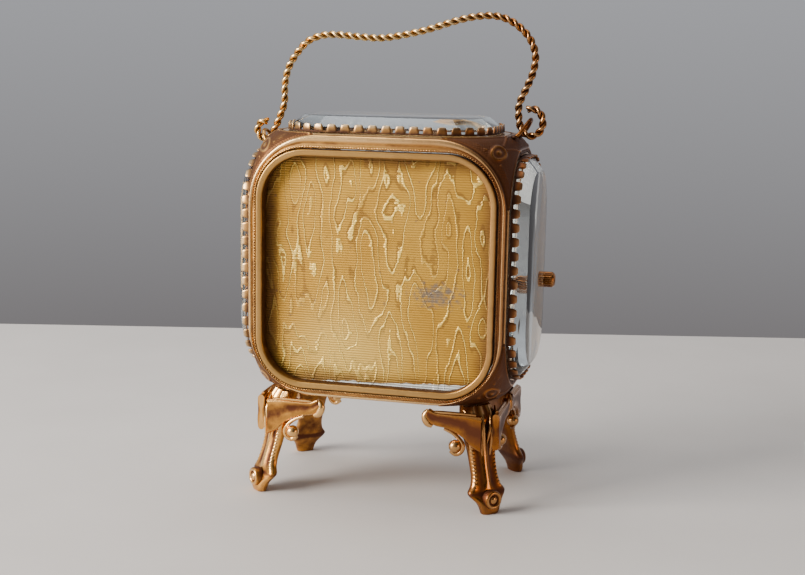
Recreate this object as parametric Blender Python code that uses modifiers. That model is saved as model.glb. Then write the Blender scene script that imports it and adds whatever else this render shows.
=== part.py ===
"""A glazed trinket casket on four cast legs: gilt brass frames, bevelled glass, a papered back panel,
a hinged glass door, a stuffed cushion and a twisted wire bail handle.

Metres, +Z up. The door is on the -Y side, the papered back on the +Y side, the feet stand on Z = 0.
"""

import math

import bmesh
import bpy
from mathutils import Matrix, Vector

# ---------------------------------------------------------------- driving dimensions
GAP = 0.0003                  # clearance between pieces that rest on each other
HALF_WIDTH = 0.035            # body, across X
HALF_DEPTH = 0.0225           # body, across Y
BODY_BOTTOM = 0.028
BODY_TOP = 0.098
BODY_MIDDLE = (BODY_BOTTOM + BODY_TOP) / 2
HALF_HEIGHT = (BODY_TOP - BODY_BOTTOM) / 2
SHEET = 0.0012                # thickness of the brass sheet
EDGE_RADIUS = 0.0045          # rounding of the body's depth edges at mid depth
FACE_RADIUS = 0.0289          # corner radius that the body tends to at its front and back
CORNER_CUT = 0.018            # how deep behind those faces the corners are cut back
FACE_FRAME_DEPTH = 0.0017     # thickness of the back frame and the door frame
PANEL_END = HALF_DEPTH - FACE_FRAME_DEPTH - GAP

BACK_FRAME_RADIUS = 0.0185
# How far the back frame's edge lies inside the body's sides, and inside its top and bottom.
BACK_FRAME_INSET = (0.0005, 0.0003)
JAMB_RADIUS = 0.0175
BEZEL_HALF = (0.0322, 0.0318)
BEZEL_MIDDLE = 0.06215        # the back's opening sits a little low in the body
BEZEL_RADIUS = 0.0135
BEZEL_WALL = 0.0017
BEZEL_PROUD = 0.0004
BEZEL_DEPTH = 0.0034
CARD_THICKNESS = 0.0010
LINING_THICKNESS = 0.0008

DOOR_HALF = (0.0348, 0.0332)
DOOR_RADIUS = 0.0150

GLASS_THICKNESS = 0.0041
GLASS_EDGE = 0.0016           # thickness left at the rim of the bevelled glass
GLASS_BEVEL = 0.0036          # width of the bevel
SIDE_GLASS = (0.0183, 0.0291, 0.0145)     # half width, half height, corner radius
TOP_GLASS = (0.0277, 0.0186, 0.0140)
DOOR_GLASS = (0.0300, 0.0300, 0.0125)
SEAT = 0.0010                 # how far a frame reaches under the glass

RING_WALL = 0.0005            # claw ring that holds each glass
RING_LOW = 0.0011             # height of the ring between two claws
RING_HIGH = 0.0022            # height of a claw
CLAW_PITCH = 0.0037

LEG_TOP = BODY_BOTTOM - GAP
LEG_LEDGE = 0.0263
LEG_SECTIONS = (
    # height, inset of the centre from the body's sharp corner, half width, half depth
    (0.0000, 0.0029, 0.0024, 0.0016),
    (0.0016, 0.0029, 0.0026, 0.0019),
    (0.0050, 0.0041, 0.0046, 0.0019),
    (0.0075, 0.0046, 0.0036, 0.0017),
    (0.0120, 0.0056, 0.0034, 0.0018),
    (0.0165, 0.0064, 0.0037, 0.0019),
    (0.0210, 0.0070, 0.0048, 0.0023),
    (0.0245, 0.0076, 0.0050, 0.0028),
    (LEG_TOP, 0.0088, 0.0042, 0.0026),
)
WING_THICKNESS = 0.0026
WING_INSET = 0.0024           # middle of a wing behind the body's face
WING_REACH = 0.0205           # wing tip from the body's sharp corner
SCROLL_BALL = (0.0122, 0.0182, 0.0016)    # inset from the corner, height, radius
ROSETTE_RADIUS = 0.0020

KNOB_AXIS = (-0.0221, 0.0562)             # Y and Z of the knob's axis
KNOB_PROFILE = (
    # distance out from the door's edge, radius
    (0.0000, 0.0012), (0.0010, 0.0012), (0.0010, 0.0021), (0.0018, 0.0022),
    (0.0021, 0.0018), (0.0028, 0.0018), (0.0031, 0.0022), (0.0055, 0.0022),
    (0.0062, 0.0017),
)
CATCH_SIZE = (0.0005, 0.0072, 0.0030)
CATCH_PLACE = -0.0293

HINGE_AXIS = (0.0365, -0.02075)
KNUCKLE_OUTER = 0.0012
KNUCKLE_INNER = 0.00075
HINGE_PIN_RADIUS = 0.0004
KNUCKLE_LENGTH = 0.0050
KNUCKLE_COUNT = 5
KNUCKLE_SADDLE = 0.0009

CUSHION_HALF = (0.0300, 0.0165)
CUSHION_HEIGHT = 0.0125

HANDLE_RADIUS = 0.00105
EYE_RADIUS = 0.0005
HANDLE_STEP = 0.0019          # length between two points of the handle's wire
LOW_CURL = (0.0378, 0.0973, 0.0023, 0.0024)      # centre X, centre Z, half width, half height
HIGH_CURL = (-0.0365, 0.1015, 0.0031, 0.0036)
HANDLE_ROUTE = (
    # the bent wire between the two curls, in X and Z
    (0.0341, 0.0998), (0.0323, 0.1047), (0.0321, 0.1102), (0.0309, 0.1148), (0.0285, 0.1186),
    (0.0256, 0.1216), (0.0217, 0.1232), (0.0172, 0.1235), (0.0104, 0.1230), (0.0037, 0.1229),
    (-0.0064, 0.1248), (-0.0157, 0.1276), (-0.0207, 0.1287), (-0.0255, 0.1290), (-0.0294, 0.1281),
    (-0.0329, 0.1259), (-0.0356, 0.1229), (-0.0370, 0.1190), (-0.0366, 0.1148), (-0.0350, 0.1106),
    (-0.0334, 0.1070), (-0.0330, 0.1042),
)
# each wire eye: half spread of its feet, its rise over the handle's axis, and the place of its feet,
# as an angle round the body's rounded edge
LOW_EYE = (0.0034, 0.0024, 6.0)
HIGH_EYE = (0.0040, 0.0044, 118.0)
EYE_STAND_OFF = 0.00045       # from the body's edge to the end of an eye's wire

BRASS = (0.72, 0.50, 0.20, 1.0)
DARK_BRASS = (0.50, 0.31, 0.11, 1.0)
GLASS_TINT = (0.78, 0.86, 0.87, 1.0)
PAPER = (0.74, 0.60, 0.28, 1.0)
CARD = (0.80, 0.76, 0.64, 1.0)
SILK = (0.83, 0.83, 0.79, 1.0)

# The body stands off centre in depth, because the door's glass reaches further out than the bezel.
FRONT_REACH = HALF_DEPTH + GAP + GLASS_THICKNESS
BACK_REACH = HALF_DEPTH + BEZEL_PROUD
BODY_SHIFT_Y = (FRONT_REACH - BACK_REACH) / 2
# The knob and the low curl reach out to nearly the same distance on opposite sides.
CURL_REACH = LOW_CURL[0] + LOW_CURL[2] + HANDLE_RADIUS
KNOB_REACH = DOOR_HALF[0] + GAP + KNOB_PROFILE[-1][0]
BODY_SHIFT_X = (KNOB_REACH - CURL_REACH) / 2

FACINGS = {
    "+X": Vector((1, 0, 0)), "-X": Vector((-1, 0, 0)),
    "+Y": Vector((0, 1, 0)), "-Y": Vector((0, -1, 0)), "+Z": Vector((0, 0, 1)),
}


# ---------------------------------------------------------------- scene helpers
def clear_scene():
    """Removes every object that the file opened with."""
    for thing in list(bpy.data.objects):
        bpy.data.objects.remove(thing, do_unlink=True)


def new_collection(name):
    """Links a new collection to the scene."""
    found = bpy.data.collections.new(name)
    bpy.context.scene.collection.children.link(found)
    return found


def material(name, colour, roughness, metallic):
    """A Principled material with the sub-part's own colour."""
    made = bpy.data.materials.new(name)
    made.use_nodes = True
    shader = made.node_tree.nodes["Principled BSDF"]
    shader.inputs["Base Color"].default_value = colour
    shader.inputs["Roughness"].default_value = roughness
    shader.inputs["Metallic"].default_value = metallic
    made.diffuse_color = colour
    return made


def finish(thing, colour=BRASS, roughness=0.35, metallic=1.0, smooth_angle=None):
    """Gives a sub-part its material, its shading and its parent."""
    thing.data.materials.clear()
    thing.data.materials.append(material(thing.name + "_finish", colour, roughness, metallic))
    if smooth_angle is not None:
        thing.data.shade_smooth()
        thing.data.set_sharp_from_angle(angle=math.radians(smooth_angle))
    thing.parent = casket_origin
    return thing


def mesh_object(name, mesh, where=None):
    """An object for a mesh, in the part's collection unless another is named."""
    made = bpy.data.objects.new(name, mesh)
    (where or casket).objects.link(made)
    return made


def evaluated_mesh(thing):
    """The object's mesh with its modifiers, or a curve's tube, with loose caps joined up."""
    bpy.context.view_layer.update()
    graph = bpy.context.evaluated_depsgraph_get()
    mesh = bpy.data.meshes.new_from_object(thing.evaluated_get(graph))
    work = bmesh.new()
    work.from_mesh(mesh)
    bmesh.ops.remove_doubles(work, verts=work.verts, dist=1e-6)
    bmesh.ops.recalc_face_normals(work, faces=work.faces)
    work.to_mesh(mesh)
    work.free()
    return mesh


def facing_matrix(facing, centre):
    """Turns local +Z to a side of the casket, with local +Y upright (or towards +Y on the top)."""
    outward = FACINGS[facing]
    upright = Vector((0, 1, 0)) if facing == "+Z" else Vector((0, 0, 1))
    across = upright.cross(outward)
    turn = Matrix((across, upright, outward)).transposed().to_4x4()
    return Matrix.Translation(centre) @ turn


# ---------------------------------------------------------------- outlines
def rounded_outline(half_a, half_b, radius, steps=6):
    """A rounded rectangle, counter-clockwise, with its arcs in equal steps."""
    points = []
    centres = ((1, 1, 0), (-1, 1, 90), (-1, -1, 180), (1, -1, 270))
    for side_a, side_b, start in centres:
        for step in range(steps + 1):
            angle = math.radians(start + 90 * step / steps)
            points.append((side_a * (half_a - radius) + radius * math.cos(angle),
                           side_b * (half_b - radius) + radius * math.sin(angle)))
    return points


def evenly_spaced(points, count):
    """Points at equal distances round a closed outline."""
    closed = [Vector(p) for p in points] + [Vector(points[0])]
    lengths = [0.0]
    for first, second in zip(closed, closed[1:]):
        lengths.append(lengths[-1] + (second - first).length)
    spaced = []
    segment = 0
    for index in range(count):
        target = lengths[-1] * index / count
        while lengths[segment + 1] < target:
            segment += 1
        share = (target - lengths[segment]) / (lengths[segment + 1] - lengths[segment])
        spaced.append(closed[segment].lerp(closed[segment + 1], share))
    return spaced


def corner_radius(depth):
    """Radius of the body's corner at a distance behind its front or back face.
    It falls from FACE_RADIUS at the face to EDGE_RADIUS, along a quarter ellipse."""
    share = max(0.0, 1.0 - depth / CORNER_CUT)
    return EDGE_RADIUS + (FACE_RADIUS - EDGE_RADIUS) * (1.0 - math.sqrt(1.0 - share * share))


def depth_stations(count=13):
    """Places along the depth where walls and corners share their points, closer near both ends."""
    return [-PANEL_END * math.cos(math.pi * index / (count - 1)) for index in range(count)]


def panel_outline(half_across):
    """Outline of a wall panel between two cut corners: across its width, and along the depth."""
    side = []
    for along in depth_stations():
        side.append((half_across - corner_radius(HALF_DEPTH - abs(along)) - GAP / 2, along))
    return side + [(-across, along) for across, along in reversed(side)]


# ---------------------------------------------------------------- shapes
def flat_plate(name, outlines, thickness, facing, centre, turn=False):
    """A flat plate with holes: a filled 2D curve, extruded to both sides of its middle plane.
    With turn, the outline's first axis lies upright instead of across."""
    curve = bpy.data.curves.new(name, "CURVE")
    curve.dimensions = "2D"
    curve.fill_mode = "BOTH"
    curve.extrude = thickness / 2
    for outline in outlines:
        spline = curve.splines.new("POLY")
        spline.points.add(len(outline) - 1)
        for point, (across, along) in zip(spline.points, outline):
            point.co = (along, across, 0, 1) if turn else (across, along, 0, 1)
        spline.use_cyclic_u = True
    drawn = bpy.data.objects.new(name + "_curve", curve)
    casket.objects.link(drawn)
    plate = mesh_object(name, evaluated_mesh(drawn))
    bpy.data.objects.remove(drawn)
    plate.matrix_world = facing_matrix(facing, centre)
    return plate


def loft(name, rings, where=None):
    """A closed skin over rings with the same number of points, which differ in shape."""
    count = len(rings[0])
    vertices = [point for ring in rings for point in ring]
    faces = []
    for low in range(len(rings) - 1):
        for index in range(count):
            after = (index + 1) % count
            faces.append((low * count + index, low * count + after,
                          (low + 1) * count + after, (low + 1) * count + index))
    faces.append(tuple(reversed(range(count))))
    faces.append(tuple((len(rings) - 1) * count + index for index in range(count)))
    mesh = bpy.data.meshes.new(name)
    mesh.from_pydata(vertices, [], faces)
    work = bmesh.new()
    work.from_mesh(mesh)
    bmesh.ops.recalc_face_normals(work, faces=work.faces)
    work.to_mesh(mesh)
    work.free()
    return mesh_object(name, mesh, where)


def bevelled_glass(name, size, facing, centre):
    """A glass slab with a thin rim and a wide bevel on its outer side."""
    half_a, half_b, radius = size
    rings = []
    for inset, height in ((0, 0), (0, GLASS_EDGE), (GLASS_BEVEL, GLASS_THICKNESS)):
        outline = rounded_outline(half_a - inset, half_b - inset, radius - inset)
        rings.append([(across, along, height) for across, along in outline])
    slab = loft(name, rings)
    slab.matrix_world = facing_matrix(facing, centre)
    return finish(slab, GLASS_TINT, 0.05, 0.0)


def claw_ring(name, size, facing, centre):
    """A thin upright ring round a glass, whose upper edge rises and falls in claws."""
    half_a, half_b, radius = size
    outer = GAP + RING_WALL
    outline = rounded_outline(half_a + outer, half_b + outer, radius + outer)
    length = sum((Vector(b) - Vector(a)).length for a, b in zip(outline, outline[1:] + outline[:1]))
    claws = round(length / CLAW_PITCH)
    work = bmesh.new()
    points = evenly_spaced(outline, 2 * claws)
    low = [work.verts.new((p.x, p.y, 0)) for p in points]
    edges = [work.edges.new((low[i], low[(i + 1) % len(low)])) for i in range(len(low))]
    raised = bmesh.ops.extrude_edge_only(work, edges=edges)["geom"]
    for vertex in [g for g in raised if isinstance(g, bmesh.types.BMVert)]:
        index = min(range(len(points)), key=lambda i: (points[i] - vertex.co.xy).length)
        vertex.co.z = RING_HIGH if index % 2 else RING_LOW
    bmesh.ops.recalc_face_normals(work, faces=work.faces)
    mesh = bpy.data.meshes.new(name)
    work.to_mesh(mesh)
    work.free()
    ring = mesh_object(name, mesh)
    wall = ring.modifiers.new("wall", "SOLIDIFY")
    wall.thickness = RING_WALL
    wall.offset = -1
    ring.matrix_world = facing_matrix(facing, centre)
    return finish(ring)


def box(name, low, high, where=None):
    """A box between two corners."""
    work = bmesh.new()
    bmesh.ops.create_cube(work, size=1)
    size = Vector(high) - Vector(low)
    middle = (Vector(high) + Vector(low)) / 2
    bmesh.ops.transform(work, matrix=Matrix.Translation(middle) @ Matrix.Diagonal(size.to_4d()),
                        verts=work.verts)
    mesh = bpy.data.meshes.new(name)
    work.to_mesh(mesh)
    work.free()
    return mesh_object(name, mesh, where)


def turned(name, profiles, steps, where=None):
    """Profiles of (radius, height), each turned round local Z with a Screw modifier."""
    vertices, edges = [], []
    for profile, closed in profiles:
        first = len(vertices)
        vertices += [(radius, 0, height) for radius, height in profile]
        edges += [(first + i, first + i + 1) for i in range(len(profile) - 1)]
        if closed:
            edges.append((len(vertices) - 1, first))
    mesh = bpy.data.meshes.new(name)
    mesh.from_pydata(vertices, edges, [])
    made = mesh_object(name, mesh, where)
    screw = made.modifiers.new("turn", "SCREW")
    screw.steps = steps
    screw.render_steps = steps
    screw.use_merge_vertices = True
    screw.merge_threshold = 0.00001
    return made


def join_solids(name, solids):
    """One closed body from overlapping solids: a Boolean union that takes them in turn."""
    body = solids[0]
    for other in solids[1:]:
        union = body.modifiers.new("join", "BOOLEAN")
        union.operation = "UNION"
        union.solver = "EXACT"
        union.object = other
    mesh = evaluated_mesh(body)
    for used in solids:
        bpy.data.objects.remove(used)
    mesh.name = name
    return mesh


def smooth_route(points, spacing):
    """Points at about the given spacing along a Catmull-Rom curve through the route."""
    route = [Vector(p) for p in points]
    padded = [2 * route[0] - route[1]] + route + [2 * route[-1] - route[-2]]
    dense = []
    for a, b, c, d in zip(padded, padded[1:], padded[2:], padded[3:]):
        for step in range(12):
            t = step / 12
            dense.append(0.5 * (2 * b + (c - a) * t + (2 * a - 5 * b + 4 * c - d) * t * t
                                + (3 * b - 3 * c + d - a) * t * t * t))
    dense.append(route[-1])
    lengths = [0.0]
    for first, second in zip(dense, dense[1:]):
        lengths.append(lengths[-1] + (second - first).length)
    count = max(2, round(lengths[-1] / spacing))
    even = []
    segment = 0
    for index in range(count + 1):
        target = min(lengths[-1] * index / count, lengths[-1] - 1e-9)
        while lengths[segment + 1] < target:
            segment += 1
        share = (target - lengths[segment]) / (lengths[segment + 1] - lengths[segment])
        even.append(dense[segment].lerp(dense[segment + 1], share))
    return even


def wire(name, points, radius):
    """A round wire along a line of points, with filled caps."""
    curve = bpy.data.curves.new(name, "CURVE")
    curve.dimensions = "3D"
    curve.bevel_depth = radius
    curve.bevel_resolution = 2
    curve.use_fill_caps = True
    spline = curve.splines.new("POLY")
    spline.points.add(len(points) - 1)
    for point, place in zip(spline.points, points):
        point.co = (*place, 1)
    drawn = bpy.data.objects.new(name + "_curve", curve)
    casket.objects.link(drawn)
    made = mesh_object(name, evaluated_mesh(drawn))
    bpy.data.objects.remove(drawn)
    return made


# ---------------------------------------------------------------- the body
def wall_panel(name, facing, half_across, plane, glass):
    """A wall of the body between its cut corners, with a window where there is a glass."""
    upright_first = facing in ("+X", "-X")
    outlines = [panel_outline(half_across)]
    if glass:
        half_a, half_b, radius = glass
        hole = rounded_outline(half_a - SEAT, half_b - SEAT, radius - SEAT)
        if upright_first:
            hole = [(along, across) for across, along in hole]
        outlines.append(hole)
    centre = FACINGS[facing] * (plane - SHEET / 2)
    centre.z += BODY_MIDDLE if upright_first else 0.0
    return finish(flat_plate(name, outlines, SHEET, facing, centre, upright_first))


def corner_piece(name, side_x, side_z, arc_steps=6):
    """A stamped corner of the body: a bent strip along the depth, widest at both ends."""
    rings = []
    for along in depth_stations():
        radius = corner_radius(HALF_DEPTH - abs(along))
        ring = []
        for wall, order in ((0.0, 1), (SHEET, -1)):
            steps = range(arc_steps + 1)
            for step in steps if order == 1 else reversed(steps):
                angle = math.radians(90 * step / arc_steps)
                across = HALF_WIDTH - radius + (radius - wall) * math.cos(angle)
                up = HALF_HEIGHT - radius + (radius - wall) * math.sin(angle)
                ring.append((side_x * across, along, BODY_MIDDLE + side_z * up))
        rings.append(ring)
    return finish(loft(name, rings), smooth_angle=40)


def build_body():
    """Walls, corners, front jamb, back frame, bezel, back panel and lining."""
    wall_panel("side_frame_left", "+X", HALF_HEIGHT, HALF_WIDTH, SIDE_GLASS)
    wall_panel("side_frame_right", "-X", HALF_HEIGHT, HALF_WIDTH, SIDE_GLASS)
    wall_panel("top_frame", "+Z", HALF_WIDTH, BODY_TOP, TOP_GLASS)
    wall_panel("bottom_plate", "+Z", HALF_WIDTH, BODY_BOTTOM + SHEET, None)
    for side_x, word_x in ((1, "left"), (-1, "right")):
        for side_z, word_z in ((1, "top"), (-1, "bottom")):
            corner_piece(f"corner_{word_z}_{word_x}", side_x, side_z)

    inner = SHEET + GAP
    jamb = [rounded_outline(HALF_WIDTH - inner, HALF_HEIGHT - inner, JAMB_RADIUS),
            rounded_outline(DOOR_GLASS[0] + SEAT, DOOR_GLASS[1] + SEAT, DOOR_GLASS[2])]
    jamb_y = -PANEL_END + SHEET / 2
    finish(flat_plate("front_jamb", jamb, SHEET, "-Y", Vector((0, jamb_y, BODY_MIDDLE))), DARK_BRASS)

    half_a, half_b = BEZEL_HALF
    opening = [(across, up + BEZEL_MIDDLE - BODY_MIDDLE)
               for across, up in rounded_outline(half_a + GAP, half_b + GAP, BEZEL_RADIUS + GAP)]
    frame = [rounded_outline(HALF_WIDTH - BACK_FRAME_INSET[0], HALF_HEIGHT - BACK_FRAME_INSET[1],
                             BACK_FRAME_RADIUS), opening]
    frame_y = HALF_DEPTH - FACE_FRAME_DEPTH / 2
    finish(flat_plate("back_frame", frame, FACE_FRAME_DEPTH, "+Y",
                      Vector((0, frame_y, BODY_MIDDLE))))
    bezel = [rounded_outline(half_a, half_b, BEZEL_RADIUS),
             rounded_outline(half_a - BEZEL_WALL, half_b - BEZEL_WALL, BEZEL_RADIUS - BEZEL_WALL)]
    bezel_y = HALF_DEPTH + BEZEL_PROUD - BEZEL_DEPTH / 2
    finish(flat_plate("back_bezel", bezel, BEZEL_DEPTH, "+Y", Vector((0, bezel_y, BEZEL_MIDDLE))),
           DARK_BRASS)
    card_y = bezel_y - BEZEL_DEPTH / 2 - GAP - CARD_THICKNESS / 2
    card = [rounded_outline(half_a - GAP, half_b - GAP, BEZEL_RADIUS)]
    finish(flat_plate("back_panel_card", card, CARD_THICKNESS, "+Y",
                      Vector((0, card_y, BEZEL_MIDDLE))), PAPER, 0.6, 0.0)
    lining_y = card_y - CARD_THICKNESS / 2 - GAP - LINING_THICKNESS / 2
    finish(flat_plate("back_lining", card, LINING_THICKNESS, "+Y",
                      Vector((0, lining_y, BEZEL_MIDDLE))), SILK, 0.8, 0.0)
    return lining_y - LINING_THICKNESS / 2


def build_glazing():
    """The three fixed glasses and their claw rings."""
    out = HALF_WIDTH + GAP
    for facing, word in (("+X", "left"), ("-X", "right")):
        centre = FACINGS[facing] * out + Vector((0, 0, BODY_MIDDLE))
        bevelled_glass(f"glass_{word}", SIDE_GLASS, facing, centre)
        claw_ring(f"claw_ring_{word}", SIDE_GLASS, facing, centre)
    above = Vector((0, 0, BODY_TOP + GAP))
    bevelled_glass("glass_top", TOP_GLASS, "+Z", above)
    claw_ring("claw_ring_top", TOP_GLASS, "+Z", above)


# ---------------------------------------------------------------- the legs
def leg_shaft():
    """The cabriole shaft: eight-cornered sections stacked along the diagonal of the corner."""
    rings = []
    for height, inset, half_wide, half_deep in LEG_SECTIONS:
        centre = Vector((HALF_WIDTH - inset, HALF_DEPTH - inset, height))
        outward = Vector((1, 1, 0)).normalized()
        across = Vector((-1, 1, 0)).normalized()
        section = ((1.0, -0.5), (1.0, 0.4), (0.62, 0.9), (0.0, 1.25), (-0.62, 0.9), (-1.0, 0.4),
                   (-1.0, -0.5), (0.0, -1.0))
        rings.append([centre + across * (a * half_wide) + outward * (b * half_deep)
                      for a, b in section])
    return loft("shaft", rings)


def leg_wing(along_x):
    """A wing under one face: a ledge with an upturned end, and a scroll under it."""
    ball_inset, ball_height, ball_radius = SCROLL_BALL
    tip = WING_REACH
    outline = [(0.0075, LEG_LEDGE), (tip - 0.0022, LEG_LEDGE), (tip - 0.0012, LEG_TOP),
               (tip, LEG_TOP), (tip + 0.0002, 0.0245), (tip - 0.0020, 0.0225),
               (tip - 0.0058, 0.0218), (ball_inset + 0.0006, 0.0202),
               (ball_inset + 0.0010, ball_height), (ball_inset - 0.0008, ball_height - 0.0010),
               (0.0088, 0.0170), (0.0070, 0.0190)]
    middle = WING_INSET
    if along_x:
        points = [(HALF_WIDTH - inset, height) for inset, height in outline]
        wing = flat_plate("wing_x", [points], WING_THICKNESS, "-Y",
                          Vector((0, HALF_DEPTH - middle, 0)))
        ball_at = Vector((HALF_WIDTH - ball_inset, HALF_DEPTH - middle, ball_height))
    else:
        points = [(HALF_DEPTH - inset, height) for inset, height in outline]
        wing = flat_plate("wing_y", [points], WING_THICKNESS, "+X",
                          Vector((HALF_WIDTH - middle, 0, 0)))
        ball_at = Vector((HALF_WIDTH - middle, HALF_DEPTH - ball_inset, ball_height))
    work = bmesh.new()
    bmesh.ops.create_uvsphere(work, u_segments=10, v_segments=7, radius=ball_radius)
    bmesh.ops.translate(work, vec=ball_at, verts=work.verts)
    mesh = bpy.data.meshes.new("scroll_ball")
    work.to_mesh(mesh)
    work.free()
    return [wing, mesh_object("scroll_ball", mesh)]


def leg_rosette():
    """The round boss on the toe, turned round the diagonal."""
    profile = [(0.0, 0.0014), (0.0012, 0.0014), (ROSETTE_RADIUS, 0.0006), (ROSETTE_RADIUS, -0.0012),
               (0.0, -0.0012)]
    boss = turned("rosette", [(profile, False)], 12)
    outward = Vector((1, 1, 0)).normalized()
    inset = 0.0017
    boss.matrix_world = (Matrix.Translation((HALF_WIDTH - inset, HALF_DEPTH - inset, 0.0042))
                         @ Vector((0, 0, 1)).rotation_difference(outward).to_matrix().to_4x4())
    return boss


def build_legs():
    """One casting for the left back corner, mirrored to the other three."""
    casting = join_solids("leg", [leg_shaft(), *leg_wing(True), *leg_wing(False), leg_rosette()])
    for side_x, word_x in ((1, "left"), (-1, "right")):
        for side_y, word_y in ((1, "back"), (-1, "front")):
            work = bmesh.new()
            work.from_mesh(casting)
            bmesh.ops.scale(work, vec=(side_x, side_y, 1), verts=work.verts)
            if side_x * side_y < 0:
                bmesh.ops.reverse_faces(work, faces=work.faces)
            mesh = bpy.data.meshes.new(f"leg_{word_y}_{word_x}")
            work.to_mesh(mesh)
            work.free()
            finish(mesh_object(mesh.name, mesh), DARK_BRASS, smooth_angle=35)


# ---------------------------------------------------------------- the door
def knuckle(name, index, saddle_low_y, saddle_high_y):
    """A hinge tube at one of the places along the pin, with a saddle to its plate."""
    low = BODY_MIDDLE - KNUCKLE_COUNT * KNUCKLE_LENGTH / 2 + index * KNUCKLE_LENGTH + GAP / 2
    high = low + KNUCKLE_LENGTH - GAP
    profile = [(KNUCKLE_INNER, high), (KNUCKLE_OUTER, high), (KNUCKLE_OUTER, low),
               (KNUCKLE_INNER, low)]
    tube = turned(name, [(profile, True)], 16)
    place = Matrix.Translation((HINGE_AXIS[0], HINGE_AXIS[1], 0))
    tube.matrix_world = place
    saddle_x = HINGE_AXIS[0] - KNUCKLE_OUTER
    saddle = box("saddle", (saddle_x, saddle_low_y, low + GAP),
                 (saddle_x + KNUCKLE_OUTER - KNUCKLE_INNER, saddle_high_y, high - GAP))
    made = mesh_object(name, join_solids(name, [tube, saddle]))
    made.matrix_world = place
    return finish(made, DARK_BRASS, smooth_angle=40)


def build_hinge(door_pivot):
    """The knuckles of the hinge, by turns on the case and on the door, and their pin."""
    case_low = HINGE_AXIS[1] + GAP
    door_high = HINGE_AXIS[1] - GAP
    for index in range(KNUCKLE_COUNT):
        if index % 2:
            made = knuckle(f"hinge_knuckle_door_{index}", index, door_high - KNUCKLE_SADDLE, door_high)
            made.parent = door_pivot
        else:
            knuckle(f"hinge_knuckle_case_{index}", index, case_low, case_low + KNUCKLE_SADDLE)
    half = KNUCKLE_COUNT * KNUCKLE_LENGTH / 2 + 0.0006
    pin = turned("hinge_pin", [([(0, half), (HINGE_PIN_RADIUS, half), (HINGE_PIN_RADIUS, -half),
                                 (0, -half)], False)], 12)
    pin.matrix_world = Matrix.Translation((HINGE_AXIS[0], HINGE_AXIS[1], BODY_MIDDLE))
    finish(pin, DARK_BRASS, smooth_angle=40)


def build_door(door_pivot):
    """Door frame, glass, claw ring, knob and catch, all hung on the hinge's axis."""
    half_a, half_b, radius = DOOR_GLASS
    outlines = [rounded_outline(*DOOR_HALF, DOOR_RADIUS),
                rounded_outline(half_a - SEAT, half_b - SEAT, radius - SEAT)]
    frame_y = -(HALF_DEPTH - FACE_FRAME_DEPTH / 2)
    pieces = [finish(flat_plate("door_frame", outlines, FACE_FRAME_DEPTH, "-Y",
                                Vector((0, frame_y, BODY_MIDDLE))))]
    front = Vector((0, -(HALF_DEPTH + GAP), BODY_MIDDLE))
    pieces.append(bevelled_glass("glass_door", DOOR_GLASS, "-Y", front))
    pieces.append(claw_ring("claw_ring_door", DOOR_GLASS, "-Y", front))

    profile = [(0.0, KNOB_PROFILE[-1][0])]
    profile += [(radius, out) for out, radius in reversed(KNOB_PROFILE)] + [(0.0, 0.0)]
    knob = turned("door_knob", [(profile, False)], 20)
    knob.matrix_world = facing_matrix("-X", Vector((-DOOR_HALF[0] - GAP, *KNOB_AXIS)))
    pieces.append(finish(knob, smooth_angle=40))

    wide, deep, tall = CATCH_SIZE
    behind = -(HALF_DEPTH - FACE_FRAME_DEPTH) + GAP
    catch = box("door_catch", (CATCH_PLACE - wide / 2, behind, KNOB_AXIS[1] - tall / 2),
                (CATCH_PLACE + wide / 2, behind + deep, KNOB_AXIS[1] + tall / 2))
    pieces.append(finish(catch, DARK_BRASS))
    for piece in pieces:
        piece.parent = door_pivot


# ---------------------------------------------------------------- the handle
def curl(size, start, stop, steps=14):
    """Points round an oval curl of the handle, between two angles in the XZ plane."""
    centre_x, centre_z, half_wide, half_tall = size
    points = []
    for step in range(steps + 1):
        angle = math.radians(start + (stop - start) * step / steps)
        points.append((centre_x + half_wide * math.cos(angle), 0,
                       centre_z + half_tall * math.sin(angle)))
    return points


def build_handle(handle_pivot):
    """The bail, with a curl at each end, and the two wire eyes that its curls hang in."""
    route = curl(LOW_CURL, 105, -160) + [(x, 0, z) for x, z in HANDLE_ROUTE]
    route += curl(HIGH_CURL, -20, -290)
    bail = wire("handle_bail", smooth_route(route, HANDLE_STEP), HANDLE_RADIUS)
    finish(bail, smooth_angle=60)
    bail.parent = handle_pivot

    low_x, low_z, _, low_tall = LOW_CURL
    high_x, high_z, _, high_tall = HIGH_CURL
    bottoms = ((low_x, low_z - low_tall), (high_x, high_z - high_tall))
    for word, side, (axis_x, axis_z), (spread, rise, foot_angle) in zip(
            ("left", "right"), (1, -1), bottoms, (LOW_EYE, HIGH_EYE)):
        reach_out = EDGE_RADIUS + EYE_STAND_OFF
        foot_x = (side * (HALF_WIDTH - EDGE_RADIUS)
                  + reach_out * math.cos(math.radians(foot_angle)))
        foot_z = BODY_TOP - EDGE_RADIUS + reach_out * math.sin(math.radians(foot_angle))
        points = []
        for step in range(13):
            angle = math.pi * step / 12
            share = math.sin(angle)
            reach = share ** 0.7
            points.append((foot_x + (axis_x - foot_x) * reach,
                           -spread * math.cos(angle),
                           foot_z + (axis_z + rise - foot_z) * share))
        finish(wire(f"handle_eye_{word}", points, EYE_RADIUS), smooth_angle=60)
    return bottoms


# ---------------------------------------------------------------- the cushion
def build_cushion(back_limit):
    """A plain padded block on the floor of the casket, in front of the back lining."""
    middle_y = (back_limit - PANEL_END + SHEET) / 2
    floor = BODY_BOTTOM + SHEET + GAP
    half_a, half_b = CUSHION_HALF
    pad = box("cushion", (-half_a, middle_y - half_b, floor),
              (half_a, middle_y + half_b, floor + CUSHION_HEIGHT))
    soften = pad.modifiers.new("soften", "BEVEL")
    soften.width = 0.0045
    soften.segments = 3
    finish(pad, SILK, 0.8, 0.0, smooth_angle=60)


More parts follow.
